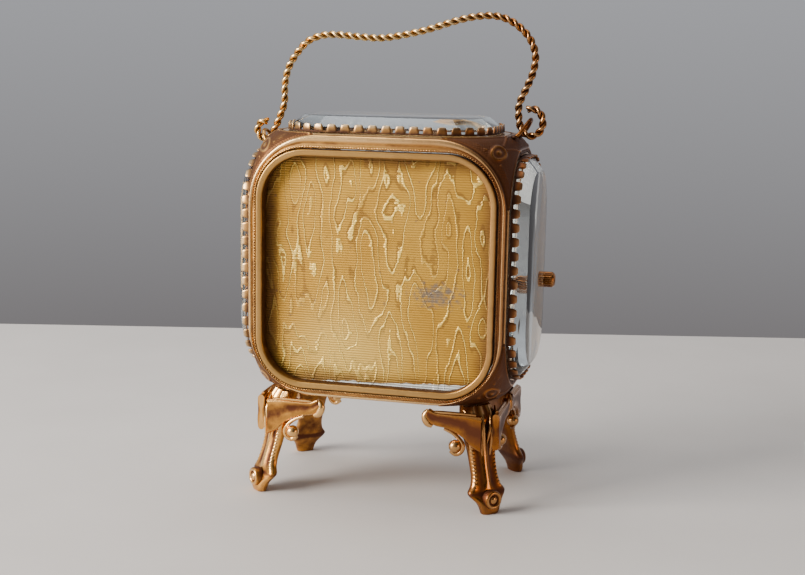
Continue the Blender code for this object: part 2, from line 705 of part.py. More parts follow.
# ---------------------------------------------------------------- assembly
def pivot(name, place):
    """An empty on a joint's axis, for the pieces that turn about it."""
    made = bpy.data.objects.new(name, None)
    made.empty_display_size = 0.01
    casket.objects.link(made)
    made.parent = casket_origin
    made.location = place
    return made


def keep_place_under(parent):
    """Cancels the parent's own offset, so that its children stay where they were modelled."""
    for child in parent.children:
        child.matrix_parent_inverse = Matrix.Translation(parent.location).inverted()


def main():
    """Builds the casket from the ground up."""
    back_limit = build_body()
    build_glazing()
    build_legs()
    door_pivot = pivot("door_pivot", (*HINGE_AXIS, BODY_MIDDLE))
    build_door(door_pivot)
    build_hinge(door_pivot)
    handle_pivot = pivot("handle_pivot", (LOW_CURL[0], 0, LOW_CURL[1] - LOW_CURL[3]))
    build_handle(handle_pivot)
    build_cushion(back_limit)
    keep_place_under(door_pivot)
    keep_place_under(handle_pivot)


clear_scene()
casket = new_collection("trinket_casket")
casket_origin = bpy.data.objects.new("casket_origin", None)
casket.objects.link(casket_origin)
casket_origin.location = (BODY_SHIFT_X, BODY_SHIFT_Y, 0)
main()
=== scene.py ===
"""Looks of a glazed trinket casket: gilt brass, bevelled glass, a papered back, a silk cushion and a
twisted wire bail. Metres, +Z up; the glass door is on the -Y side and the papered back on the +Y side."""
import logging
import math
from dataclasses import dataclass, field
from enum import Enum

import bmesh
import bpy
import numpy as np
from mathutils import Matrix, Vector


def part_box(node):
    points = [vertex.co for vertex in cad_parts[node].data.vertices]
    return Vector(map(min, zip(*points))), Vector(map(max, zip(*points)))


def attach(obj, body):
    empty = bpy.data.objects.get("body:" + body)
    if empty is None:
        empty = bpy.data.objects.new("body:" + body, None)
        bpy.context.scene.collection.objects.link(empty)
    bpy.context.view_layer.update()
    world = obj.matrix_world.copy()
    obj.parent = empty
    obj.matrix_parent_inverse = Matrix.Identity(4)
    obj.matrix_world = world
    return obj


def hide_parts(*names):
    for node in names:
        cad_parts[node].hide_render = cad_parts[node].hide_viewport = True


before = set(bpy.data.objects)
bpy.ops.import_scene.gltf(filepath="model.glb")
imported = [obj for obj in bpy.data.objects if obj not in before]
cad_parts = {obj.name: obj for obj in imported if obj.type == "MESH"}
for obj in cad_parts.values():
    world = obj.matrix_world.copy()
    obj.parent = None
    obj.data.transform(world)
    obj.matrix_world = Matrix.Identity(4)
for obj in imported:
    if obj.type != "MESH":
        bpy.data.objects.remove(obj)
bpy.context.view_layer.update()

LOG = logging.getLogger("trinket_casket")
MM = 0.001
WELD = 0.0002 * MM
Array = np.ndarray


class Body(Enum):
    """The rigid bodies that a piece can ride on."""

    CASE = "case"
    DOOR = "door"
    HANDLE = "handle"


class Facing(Enum):
    """Sides of the casket, each as its across, upright and outward axes."""

    LEFT = ((0, 1, 0), (0, 0, 1), (1, 0, 0))
    RIGHT = ((0, -1, 0), (0, 0, 1), (-1, 0, 0))
    BACK = ((-1, 0, 0), (0, 0, 1), (0, 1, 0))
    FRONT = ((1, 0, 0), (0, 0, 1), (0, -1, 0))
    TOP = ((1, 0, 0), (0, 1, 0), (0, 0, 1))

    @property
    def basis(self) -> Array:
        """The three axes as the rows of a matrix."""
        return np.array(self.value, float)


# ---------------------------------------------------------------- paths and grids
@dataclass(frozen=True)
class Path:
    """A closed flat path: its points, its outward normals and the distance along it."""

    points: Array
    normals: Array
    along: Array
    length: float


def rounded_path(half_a: float, half_b: float, radius: float, count: int) -> Path:
    """Rounded rectangle at equal steps: four quarter circles round the corner centres, joined by
    straight runs, read off by the distance along it.

    Args:
        half_a: half of its width.
        half_b: half of its height.
        radius: radius of its corners.
        count: number of points.

    Returns:
        The closed path.
    """
    turn = np.linspace(0, np.pi / 2, 33)
    angle = np.concatenate([turn + quarter * np.pi / 2 for quarter in range(4)])
    normals = np.stack([np.cos(angle), np.sin(angle)], 1)
    centres = np.repeat([(1, 1), (-1, 1), (-1, -1), (1, -1)], len(turn), axis=0)
    points = centres * (half_a - radius, half_b - radius) + radius * normals
    points = np.vstack([points, points[:1]])
    normals = np.vstack([normals, normals[:1]])
    run = np.concatenate([[0], np.cumsum(np.linalg.norm(np.diff(points, axis=0), axis=1))])
    along = run[-1] * np.arange(count) / count
    spaced = np.stack([np.interp(along, run, points[:, k]) for k in (0, 1)], 1)
    facing = np.stack([np.interp(along, run, normals[:, k]) for k in (0, 1)], 1)
    facing /= np.linalg.norm(facing, axis=1, keepdims=True)
    return Path(spaced, facing, along, float(run[-1]))


def swept(path: Path, out: Array, up: Array) -> Array:
    """A profile carried round a path: each path point goes out along its normal by the profile's
    first value, and up by its second. Both may differ from point to point along the path.

    Args:
        path: the closed path.
        out: outward offsets, (profile,) or (path, profile).
        up: heights, (profile,) or (path, profile).

    Returns:
        Grid (path, profile, 3) in across, upright, outward.
    """
    count = len(path.points)
    out = np.broadcast_to(out, (count, np.shape(out)[-1]))
    up = np.broadcast_to(up, (count, np.shape(up)[-1]))
    flat = path.points[:, None, :] + path.normals[:, None, :] * out[..., None]
    return np.concatenate([flat, up[..., None]], 2)


def spline(controls: Array, count: int) -> Array:
    """Catmull-Rom curve through control points, read at equal steps of its length.

    Args:
        controls: (k, d) points that the curve passes through.
        count: number of points to return.

    Returns:
        (count, d) points.
    """
    controls = np.asarray(controls, float)
    ends = np.vstack([2 * controls[:1] - controls[1:2], controls, 2 * controls[-1:] - controls[-2:-1]])
    t = np.linspace(0, len(controls) - 1, 40 * len(controls))
    span = np.minimum(t.astype(int), len(controls) - 2)
    t = (t - span)[:, None]
    a, b, c, d = (ends[span + k] for k in range(4))
    dense = 0.5 * (2 * b + (c - a) * t + (2 * a - 5 * b + 4 * c - d) * t**2
                   + (3 * b - 3 * c + d - a) * t**3)
    run = np.concatenate([[0], np.cumsum(np.linalg.norm(np.diff(dense, axis=0), axis=1))])
    at = np.linspace(0, run[-1], count)
    return np.stack([np.interp(at, run, dense[:, k]) for k in range(dense.shape[1])], 1)


def tube(centres: Array, radius: Array, sides: int, reference: Array) -> Array:
    """Round section carried along a line. Each ring lies square to the line's direction, and its
    first point is turned towards the reference direction.

    Args:
        centres: (n, 3) line.
        radius: one radius, or one for each point.
        sides: points round the section.
        reference: (3,) or (n, 3) direction that is never along the line.

    Returns:
        Grid (n, sides, 3).
    """
    tangent = np.gradient(centres, axis=0)
    tangent /= np.linalg.norm(tangent, axis=1, keepdims=True)
    across = np.cross(tangent, np.broadcast_to(reference, tangent.shape))
    across /= np.linalg.norm(across, axis=1, keepdims=True)
    other = np.cross(across, tangent)
    angle = np.linspace(0, 2 * np.pi, sides, endpoint=False)
    radius = np.broadcast_to(radius, (len(centres),))[:, None, None]
    ring = across[:, None] * np.cos(angle)[:, None] + other[:, None] * np.sin(angle)[:, None]
    return centres[:, None] + ring * radius


def poled(grid: Array) -> Array:
    """The grid with its two end rings closed in on their middles.

    Args:
        grid: rings of points.

    Returns:
        The grid with a ring more at each end.
    """
    first = np.broadcast_to(grid[:1].mean(1, keepdims=True), grid[:1].shape)
    last = np.broadcast_to(grid[-1:].mean(1, keepdims=True), grid[-1:].shape)
    return np.concatenate([first, grid, last])


def turned(profile: Array, sides: int) -> Array:
    """A profile of (distance out, height) turned round the upright axis: across = out * cos,
    upright = out * sin, outward = height.

    Args:
        profile: (n, 2) points.
        sides: points round the axis.

    Returns:
        Grid (n, sides, 3).
    """
    profile = np.asarray(profile, float)
    angle = np.linspace(0, 2 * np.pi, sides, endpoint=False)
    out = profile[:, :1]
    return np.stack([out * np.cos(angle), out * np.sin(angle),
                     np.broadcast_to(profile[:, 1:], (len(profile), sides))], 2)


def bump(x: Array, middle: float, width: float) -> Array:
    """A smooth hill: one at the middle, falling off as a bell of the given width."""
    return np.exp(-(((x - middle) / width) ** 2))


def oblong(sides: int, wide: float, tall: float) -> tuple[Array, Array]:
    """A rounded oblong from -1 to 1: the cosine and the sine of each angle, with their size raised to
    a power and their sign kept.

    Args:
        sides: points round it.
        wide: power of the cosine.
        tall: power of the sine.

    Returns:
        Its first and second values, each (1, sides).
    """
    angle = np.linspace(0, 2 * np.pi, sides, endpoint=False)[None]
    cosine, sine = np.cos(angle), np.sin(angle)
    return np.sign(cosine) * np.abs(cosine) ** wide, np.sign(sine) * np.abs(sine) ** tall


# ---------------------------------------------------------------- pieces
def corners(node: str) -> tuple[Array, Array]:
    """The low and high corners of a CAD node's box."""
    low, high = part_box(node)
    return np.array(low), np.array(high)


def seat(node: str, facing: Facing) -> tuple[Array, Array]:
    """Where a piece on one side of the casket sits.

    Args:
        node: the CAD node that it stands for.
        facing: the side.

    Returns:
        Half sizes of the node's box across, upright and outward, and the middle of its inner side.
    """
    low, high = corners(node)
    half = np.abs(facing.basis) @ (high - low) / 2
    return half, (low + high) / 2 - facing.basis[2] * half[2]


def linked(name: str, data: bpy.types.ID) -> bpy.types.Object:
    """A new object in the scene.

    Args:
        name: its name.
        data: its mesh, lamp or camera.

    Returns:
        The object.
    """
    made = bpy.data.objects.new(name, data)
    bpy.context.scene.collection.objects.link(made)
    return made


def face_outward(mesh: bpy.types.Mesh, weld: float = 0.0) -> None:
    """Turns every face outward.

    Args:
        mesh: the mesh.
        weld: points closer than this are joined first, if it isn't 0.
    """
    work = bmesh.new()
    work.from_mesh(mesh)
    if weld:
        bmesh.ops.remove_doubles(work, verts=work.verts, dist=weld)
    bmesh.ops.recalc_face_normals(work, faces=work.faces)
    work.to_mesh(mesh)
    work.free()


@dataclass
class Piece:
    """One named piece that is put together from grids of points."""

    name: str
    points: list[Array] = field(default_factory=list)
    faces: list[Array] = field(default_factory=list)
    cavity: list[Array] = field(default_factory=list)
    total: int = 0

    def _store(self, points: Array, faces: Array, cavity: Array | float) -> None:
        """Keeps one set of points and faces, numbered after those that are already there.

        Args:
            points: the points.
            faces: the faces, numbered within this set.
            cavity: depth of each point.
        """
        flat = points.reshape(-1, 3)
        self.points.append(flat)
        self.faces.append(faces + self.total)
        self.cavity.append(np.broadcast_to(cavity, points.shape[:-1]).reshape(-1).astype(float))
        self.total += len(flat)

    def add(self, grid: Array, cavity: Array | float = 0.3, close_rows: bool = False) -> "Piece":
        """Adds a grid whose columns run round a closed ring.

        Args:
            grid: (rows, columns, 3) points.
            cavity: how deep each point lies, from 0 on the crests to 1 in the hollows.
            close_rows: whether the last row joins the first.

        Returns:
            This piece.
        """
        rows, cols = grid.shape[:2]
        number = np.arange(rows * cols).reshape(rows, cols)
        if close_rows:
            number = np.vstack([number, number[:1]])
        number = np.hstack([number, number[:, :1]])
        quads = np.stack([number[:-1, :-1], number[1:, :-1], number[1:, 1:], number[:-1, 1:]], -1)
        self._store(grid, quads.reshape(-1, 4), cavity)
        return self

    def add_closed(self, grid: Array, cavity: Array | float = 0.3) -> "Piece":
        """Adds a grid of rings, with its two end rings closed in on their middles.

        Args:
            grid: (rows, columns, 3) points.
            cavity: depth of each point.

        Returns:
            This piece.
        """
        deep = np.broadcast_to(cavity, grid.shape[:2])
        return self.add(poled(grid), np.concatenate([deep[:1], deep, deep[-1:]]))

    def add_shell(self, outer: Array, inner: Array, cavity: Array | float = 0.3) -> "Piece":
        """Adds a closed wall between two open grids of the same shape.

        Args:
            outer: (rows, columns, 3) points of the outer side.
            inner: the same for the inner side.
            cavity: depth of each outer point.

        Returns:
            This piece.
        """
        rows, cols = outer.shape[:2]
        near = np.arange(rows * cols).reshape(rows, cols)
        far = near + rows * cols

        def quads(n: Array) -> Array:
            """Quads of an open grid of numbers."""
            return np.stack([n[:-1, :-1], n[1:, :-1], n[1:, 1:], n[:-1, 1:]], -1).reshape(-1, 4)

        rim = np.concatenate([near[0], near[1:, -1], near[-1, -2::-1], near[-2::-1, 0]])
        back = np.concatenate([far[0], far[1:, -1], far[-1, -2::-1], far[-2::-1, 0]])
        faces = np.vstack([quads(near), quads(far)[:, ::-1], quads(np.stack([rim, back]))])
        deep = np.broadcast_to(cavity, outer.shape[:-1])
        self._store(np.stack([outer, inner]), faces, np.stack([deep, np.full(deep.shape, 0.7)]))
        return self

    def add_ball(self, centre: Array, radii: Array, cavity: float = 0.15) -> "Piece":
        """Adds an ellipsoid: latitude rings of cos(latitude), raised by sin(latitude).

        Args:
            centre: its middle.
            radii: its three radii.
            cavity: depth of each point.

        Returns:
            This piece.
        """
        latitude = np.linspace(-np.pi / 2, np.pi / 2, 17)
        ball = turned(np.stack([np.cos(latitude), np.sin(latitude)], 1), 24)
        return self.add(ball * np.asarray(radii) + np.asarray(centre), cavity)

    def build(self, body: Body, slot: str, material: bpy.types.Material,
              replaces: tuple[str, ...] = (), sharp: float = 38.0) -> bpy.types.Object:
        """Makes the mesh, dresses it and puts it on its body.

        Args:
            body: the body that it rides on.
            slot: the record's material slot; not used.
            material: its finish.
            replaces: the CAD nodes that it stands for.
            sharp: angle in degrees past which an edge is sharp.

        Returns:
            The finished object.
        """
        mesh = bpy.data.meshes.new(self.name)
        points = np.vstack(self.points)
        faces = np.vstack(self.faces)
        mesh.vertices.add(len(points))
        mesh.vertices.foreach_set("co", points.astype(np.float32).ravel())
        mesh.loops.add(faces.size)
        mesh.loops.foreach_set("vertex_index", faces.astype(np.int32).ravel())
        mesh.polygons.add(len(faces))
        mesh.polygons.foreach_set("loop_start", np.arange(0, faces.size, 4, dtype=np.int32))
        mesh.update(calc_edges=True)
        layer = mesh.attributes.new("cavity", "FLOAT", "POINT")
        layer.data.foreach_set("value", np.concatenate(self.cavity).astype(np.float32))
        face_outward(mesh, WELD)
        mesh.validate()
        mesh.shade_smooth()
        mesh.set_sharp_from_angle(angle=math.radians(sharp))
        return dress(linked(self.name, mesh), body, material, replaces)


def dress(made: bpy.types.Object, body: Body, material: bpy.types.Material,
          replaces: tuple[str, ...] = ()) -> bpy.types.Object:
    """Gives an object its finish and its body, and hides the CAD nodes that it stands for.

    Args:
        made: the object.
        body: the body that it rides on.
        material: its finish.
        replaces: the CAD nodes that it stands for.

    Returns:
        The object.
    """
    made.data.materials.clear()
    made.data.materials.append(material)
    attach(made, body.value)
    if replaces:
        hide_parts(*replaces)
    LOG.info("%s: %d faces, on %s", made.name, len(made.data.polygons), body.value)
    return made


def dress_node(node: str, finish: bpy.types.Material) -> None:
    """Gives a CAD node that keeps its shape a finish."""
    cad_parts[node].data.materials.clear()
    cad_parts[node].data.materials.append(finish)


def placed(grid: Array, facing: Facing, origin: Array) -> Array:
    """Local across, upright, outward turned to a side of the casket and moved to its place."""
    return grid @ facing.basis + np.asarray(origin, float)


# ---------------------------------------------------------------- node groups
@dataclass
class Graph:
    """Adds nodes to a material or a group, and links them."""

    tree: bpy.types.NodeTree

    def add(self, kind: str, inputs: dict | None = None, **settings: object) -> bpy.types.Node:
        """A node with its settings, and with each input set to a value or linked to a socket.

        Args:
            kind: the node's class name after ShaderNode.
            inputs: input name or number, to a value or an output socket.
            settings: properties of the node.

        Returns:
            The node.
        """
        made = self.tree.nodes.new("ShaderNode" + kind)
        for name, value in settings.items():
            setattr(made, name, value)
        for name, value in (inputs or {}).items():
            if isinstance(value, bpy.types.NodeSocket):
                self.tree.links.new(value, made.inputs[name])
            else:
                made.inputs[name].default_value = value
        return made

    def math(self, operation: str, *values: object) -> bpy.types.NodeSocket:
        """The result of a Math node, clamped if its operation's name ends in a star.

        Args:
            operation: the operation's name.
            values: its inputs.

        Returns:
            The result.
        """
        node = self.add("Math", dict(enumerate(values)), operation=operation.rstrip("*"))
        node.use_clamp = operation.endswith("*")
        return node.outputs[0]

    def plus(self, first: object, second: object) -> bpy.types.NodeSocket:
        """The sum of two values."""
        return self.math("ADD", first, second)

    def less(self, first: object, second: object) -> bpy.types.NodeSocket:
        """The first value less the second."""
        return self.math("SUBTRACT", first, second)

    def times(self, first: object, second: object) -> bpy.types.NodeSocket:
        """The product of two values."""
        return self.math("MULTIPLY", first, second)

    def rest(self, share: object) -> bpy.types.NodeSocket:
        """What is left of one when a share is taken away."""
        return self.math("SUBTRACT", 1.0, share)

    def feed(self, node: bpy.types.Node, sockets: dict) -> None:
        """Links output sockets to a node's inputs, given by name."""
        for name, socket in sockets.items():
            self.tree.links.new(socket, node.inputs[name])

    def mix(self, share: object, first: object, second: object, blend: str = "MIX"
            ) -> bpy.types.NodeSocket:
        """The result of mixing two colours."""
        node = self.add("Mix", {0: share, 6: first, 7: second}, data_type="RGBA", blend_type=blend)
        return node.outputs[2]

    def noise(self, where: object, scale: float, detail: float = 2.0, rough: float = 0.5
              ) -> bpy.types.NodeSocket:
        """The value of a Noise texture.

        Args:
            where: the coordinates.
            scale: its scale.
            detail: its detail.
            rough: its roughness.

        Returns:
            Its value.
        """
        node = self.add("TexNoise", {"Vector": where, "Scale": scale, "Detail": detail,
                                     "Roughness": rough})
        return node.outputs[0]

    def ramp(self, value: object, low: float, high: float) -> bpy.types.NodeSocket:
        """A value taken smoothly from 0 at low to 1 at high."""
        node = self.add("MapRange", {0: value, 1: low, 2: high}, interpolation_type="SMOOTHSTEP")
        return node.outputs[0]

    def stretched(self, scale: tuple, move: tuple = (0, 0, 0)) -> bpy.types.NodeSocket:
        """Object coordinates, moved and stretched.

        Args:
            scale: scale on each axis.
            move: how far it is moved.

        Returns:
            The coordinates.
        """
        place = self.add("TexCoord").outputs["Object"]
        node = self.add("Mapping", {"Vector": place, "Scale": scale, "Location": move})
        return node.outputs[0]


def new_group(name: str, inputs: dict, outputs: dict) -> tuple[Graph, bpy.types.Node, bpy.types.Node]:
    """An empty shader node group with its sockets.

    Args:
        name: the group's name.
        inputs: input name to (socket type, default value).
        outputs: output name to socket type.

    Returns:
        Its graph, its input node and its output node.
    """
    tree = bpy.data.node_groups.new(name, "ShaderNodeTree")
    for label, (kind, value) in inputs.items():
        socket = tree.interface.new_socket(label, in_out="INPUT", socket_type=kind)
        socket.default_value = value
    for label, kind in outputs.items():
        tree.interface.new_socket(label, in_out="OUTPUT", socket_type=kind)
    graph = Graph(tree)
    start = tree.nodes.new("NodeGroupInput")
    end = tree.nodes.new("NodeGroupOutput")
    return graph, start, end


FLOAT, COLOUR = "NodeSocketFloat", "NodeSocketColor"


def worn_shaded_metal_group() -> bpy.types.NodeTree:
    """Old gilding: bright on the crests, red-brown dirt in the hollows, mottled between, with fine
    scratches, pits and tool marks, and painted shade: a deep red-brown darkening towards the knob's
    side, away from the window. Hollows come from the piece's cavity attribute.

    Returns:
        The node group.
    """
    graph, start, end = new_group(
        "worn_shaded_metal",
        {"Bright": (COLOUR, (0.9, 0.6, 0.25, 1)), "Worn": (COLOUR, (0.9, 0.75, 0.5, 1)),
         "Deep": (COLOUR, (0.3, 0.12, 0.04, 1)), "Dirt": (FLOAT, 0.5), "Wear": (FLOAT, 0.4),
         "Polish": (FLOAT, 0.25), "Shade colour": (COLOUR, (0.20, 0.050, 0.008, 1)), "Shade amount": (FLOAT, 0.88)},
        {"Color": COLOUR, "Roughness": FLOAT, "Height": FLOAT, "Metallic": FLOAT})
    place = graph.add("TexCoord").outputs["Object"]
    hollow = graph.add("Attribute", attribute_name="cavity").outputs["Fac"]
    mottle = graph.noise(place, 220.0, 5.0, 0.62)
    fine = graph.noise(place, 1400.0, 3.0, 0.6)
    broad = graph.noise(place, 60.0, 3.0, 0.5)
    grime = graph.plus(hollow, graph.times(graph.less(mottle, 0.5), 1.1))
    grime = graph.plus(grime, graph.times(graph.less(broad, 0.5), 0.7))
    grime = graph.math("MULTIPLY*", graph.ramp(grime, 0.18, 0.92), start.outputs["Dirt"])
    crest = graph.less(graph.plus(1.0, graph.times(broad, 0.5)), hollow)
    crest = graph.math("MULTIPLY*", graph.ramp(crest, 0.75, 1.25), start.outputs["Wear"])
    colour = graph.mix(crest, start.outputs["Bright"], start.outputs["Worn"])
    # Painted shade: the metal turns a deep red-brown towards the knob's side (-X), less on the crests.
    across = graph.add("SeparateXYZ", {0: place}).outputs["X"]
    across = graph.plus(across, graph.times(graph.less(broad, 0.5), 0.022))
    knob_side_shade = graph.rest(graph.ramp(across, -0.038, 0.006))
    knob_side_shade = graph.times(knob_side_shade, start.outputs["Shade amount"])
    knob_side_shade = graph.times(knob_side_shade, graph.rest(graph.times(crest, 0.45)))
    colour = graph.mix(knob_side_shade, colour, start.outputs["Shade colour"])
    colour = graph.mix(grime, colour, start.outputs["Deep"])
    speck = graph.ramp(fine, 0.62, 0.75)
    colour = graph.mix(graph.times(speck, 0.35), colour, start.outputs["Deep"])
    rough = graph.plus(start.outputs["Polish"], graph.times(grime, 0.28))
    rough = graph.plus(rough, graph.times(fine, 0.14))
    scratch = graph.noise(graph.stretched((900, 120, 900)), 1.0, 2.0, 0.5)
    height = graph.plus(graph.times(mottle, 0.6), graph.times(fine, 0.25))
    height = graph.plus(height, graph.times(scratch, 0.12))
    metal = graph.rest(graph.times(grime, 0.25))
    graph.feed(end, {"Color": colour, "Roughness": rough, "Height": height, "Metallic": metal})
    return graph.tree


def watered_ribs_group() -> bpy.types.NodeTree:
    """Watered (moire) embossing: fine level ribs, and upright wandering veins that are level lines of
    a noise stretched upright, so that they close into long islands.

    Returns:
        The node group.
    """
    graph, start, end = new_group(
        "watered_ribs", {"Rib pitch": (FLOAT, 0.00064), "Vein width": (FLOAT, 0.012)},
        {"Rib": FLOAT, "Vein": FLOAT, "Edge": FLOAT, "Speck": FLOAT})
    place = graph.add("TexCoord").outputs["Object"]
    split = graph.add("SeparateXYZ", {0: place})
    sway = graph.noise(place, 60.0, 2.0)
    upright = graph.plus(split.outputs["Z"], graph.times(sway, 0.0006))
    phase = graph.math("DIVIDE", upright, start.outputs["Rib pitch"])
    rib = graph.math("SINE", graph.times(phase, 2 * math.pi))
    rib = graph.math("MULTIPLY_ADD", rib, 0.5, 0.5)
    step = graph.add("CombineXYZ", {0: graph.times(split.outputs["X"], 60.0),
                                    2: graph.math("FLOOR", phase)}).outputs[0]
    jag = graph.less(graph.noise(step, 2.3, 0.0), 0.5)
    field_at = graph.stretched((118, 0, 34), (3.1, 0, 7.7))
    flow = graph.noise(field_at, 1.0, 2.2, 0.42)
    flow = graph.plus(flow, graph.times(jag, 0.022))
    veins, edges = [], []
    for level in (0.38, 0.465, 0.55, 0.625):
        apart = graph.less(flow, level)
        near = graph.math("DIVIDE", graph.math("ABSOLUTE", apart), start.outputs["Vein width"])
        veins.append(graph.rest(graph.ramp(near, 0.35, 1.0)))
        beside = graph.math("ABSOLUTE", graph.less(apart, 0.014))
        edges.append(graph.rest(graph.ramp(beside, 0.002, 0.010)))
    vein, edge = veins[0], edges[0]
    for other, shade in zip(veins[1:], edges[1:]):
        vein = graph.math("MAXIMUM", vein, other)
        edge = graph.math("MAXIMUM", edge, shade)
    patch = graph.ramp(graph.noise(graph.stretched((90, 90, 50), (9, 0, 2)), 1.0, 2.0), 0.38, 0.56)
    vein = graph.times(vein, graph.math("MULTIPLY_ADD", patch, 0.75, 0.25))
    speck = graph.ramp(graph.noise(place, 620.0, 1.0), 0.70, 0.76)
    graph.feed(end, {"Rib": rib, "Vein": vein, "Edge": edge, "Speck": speck})
    return graph.tree


def silk_weave_group() -> bpy.types.NodeTree:
    """Plain silk weave: two crossed sets of threads, over and under by turns, with slubs.

    Returns:
        The node group.
    """
    graph, start, end = new_group("silk_weave", {"Thread": (FLOAT, 0.00045)},
                                  {"Height": FLOAT, "Slub": FLOAT})
    place = graph.add("TexCoord").outputs["Object"]
    split = graph.add("SeparateXYZ", {0: place})
    waves = []
    for axis, other in (("X", "Y"), ("Y", "X")):
        side = graph.plus(split.outputs[axis], split.outputs["Z"])
        phase = graph.math("DIVIDE", side, start.outputs["Thread"])
        waves.append(graph.math("ABSOLUTE", graph.math("SINE", graph.times(phase, math.pi))))
    height = graph.math("MAXIMUM", waves[0], graph.times(waves[1], 0.9))
    slub = graph.noise(graph.stretched((900, 60, 300)), 1.0, 2.0)
    graph.feed(end, {"Height": height, "Slub": slub})
    return graph.tree


# ---------------------------------------------------------------- finishes
def principled(name: str) -> tuple[bpy.types.Material, Graph, bpy.types.Node]:
    """A new material, its graph and its Principled shader.

    Args:
        name: its name.

    Returns:
        The material, its graph and its shader.
    """
    made = bpy.data.materials.new(name)
    made.use_nodes = True
    return made, Graph(made.node_tree), made.node_tree.nodes["Principled BSDF"]


@dataclass(frozen=True)
class Gilding:
    """A gilt or aged brass finish."""

    name: str
    bright: tuple
    worn: tuple
    deep: tuple
    dirt: float
    wear: float
    polish: float
    # Strength of the painted shade towards the knob's side.
    shade_strength: float = 0.88
    relief: float = 0.00012

    def build(self, group: bpy.types.NodeTree) -> bpy.types.Material:
        """Makes the material from the worn and shaded metal group.

        Args:
            group: the shader node group that it uses.

        Returns:
            The material.
        """
        made, graph, shader = principled(self.name)
        effect = graph.add("Group", node_tree=group)
        for label, value in (("Bright", self.bright), ("Worn", self.worn), ("Deep", self.deep)):
            effect.inputs[label].default_value = (*value, 1)
        for label, value in (("Dirt", self.dirt), ("Wear", self.wear), ("Polish", self.polish),
                             ("Shade amount", self.shade_strength)):
            effect.inputs[label].default_value = value
        hills = graph.add("Bump", {"Height": effect.outputs["Height"], "Distance": self.relief,
                                   "Strength": 0.45})
        out = effect.outputs
        graph.feed(shader, {"Base Color": out["Color"], "Roughness": out["Roughness"],
                            "Metallic": out["Metallic"], "Normal": hills.outputs[0]})
        return made


@dataclass(frozen=True)
class BevelledGlass:
    """Clear old glass with a blue-grey tint, a little dust and a faint ripple."""

    name: str = "bevelled_glass"
    tint: tuple = (0.90, 0.96, 0.96)
    shadow: float = 0.93

    def build(self) -> bpy.types.Material:
        """Makes the material. Most light goes through it in shadow rays.

        Returns:
            The material.
        """
        made, graph, shader = principled(self.name)
        place = graph.add("TexCoord").outputs["Object"]
        shader.inputs["Transmission Weight"].default_value = 1.0
        shader.inputs["IOR"].default_value = 1.50
        dust = graph.ramp(graph.noise(place, 160.0, 5.0, 0.7), 0.52, 0.80)
        colour = graph.mix(dust, (*self.tint, 1), (0.80, 0.88, 0.86, 1))
        rough = graph.math("MULTIPLY_ADD", dust, 0.05, 0.004)
        ripple = graph.noise(place, 90.0, 1.0)
        hills = graph.add("Bump", {"Height": ripple, "Distance": 0.0002, "Strength": 0.10})
        through = graph.add("LightPath").outputs["Is Shadow Ray"]
        alpha = graph.rest(graph.times(through, self.shadow))
        graph.feed(shader, {"Base Color": colour, "Roughness": rough, "Normal": hills.outputs[0],
                            "Alpha": alpha})
        return made


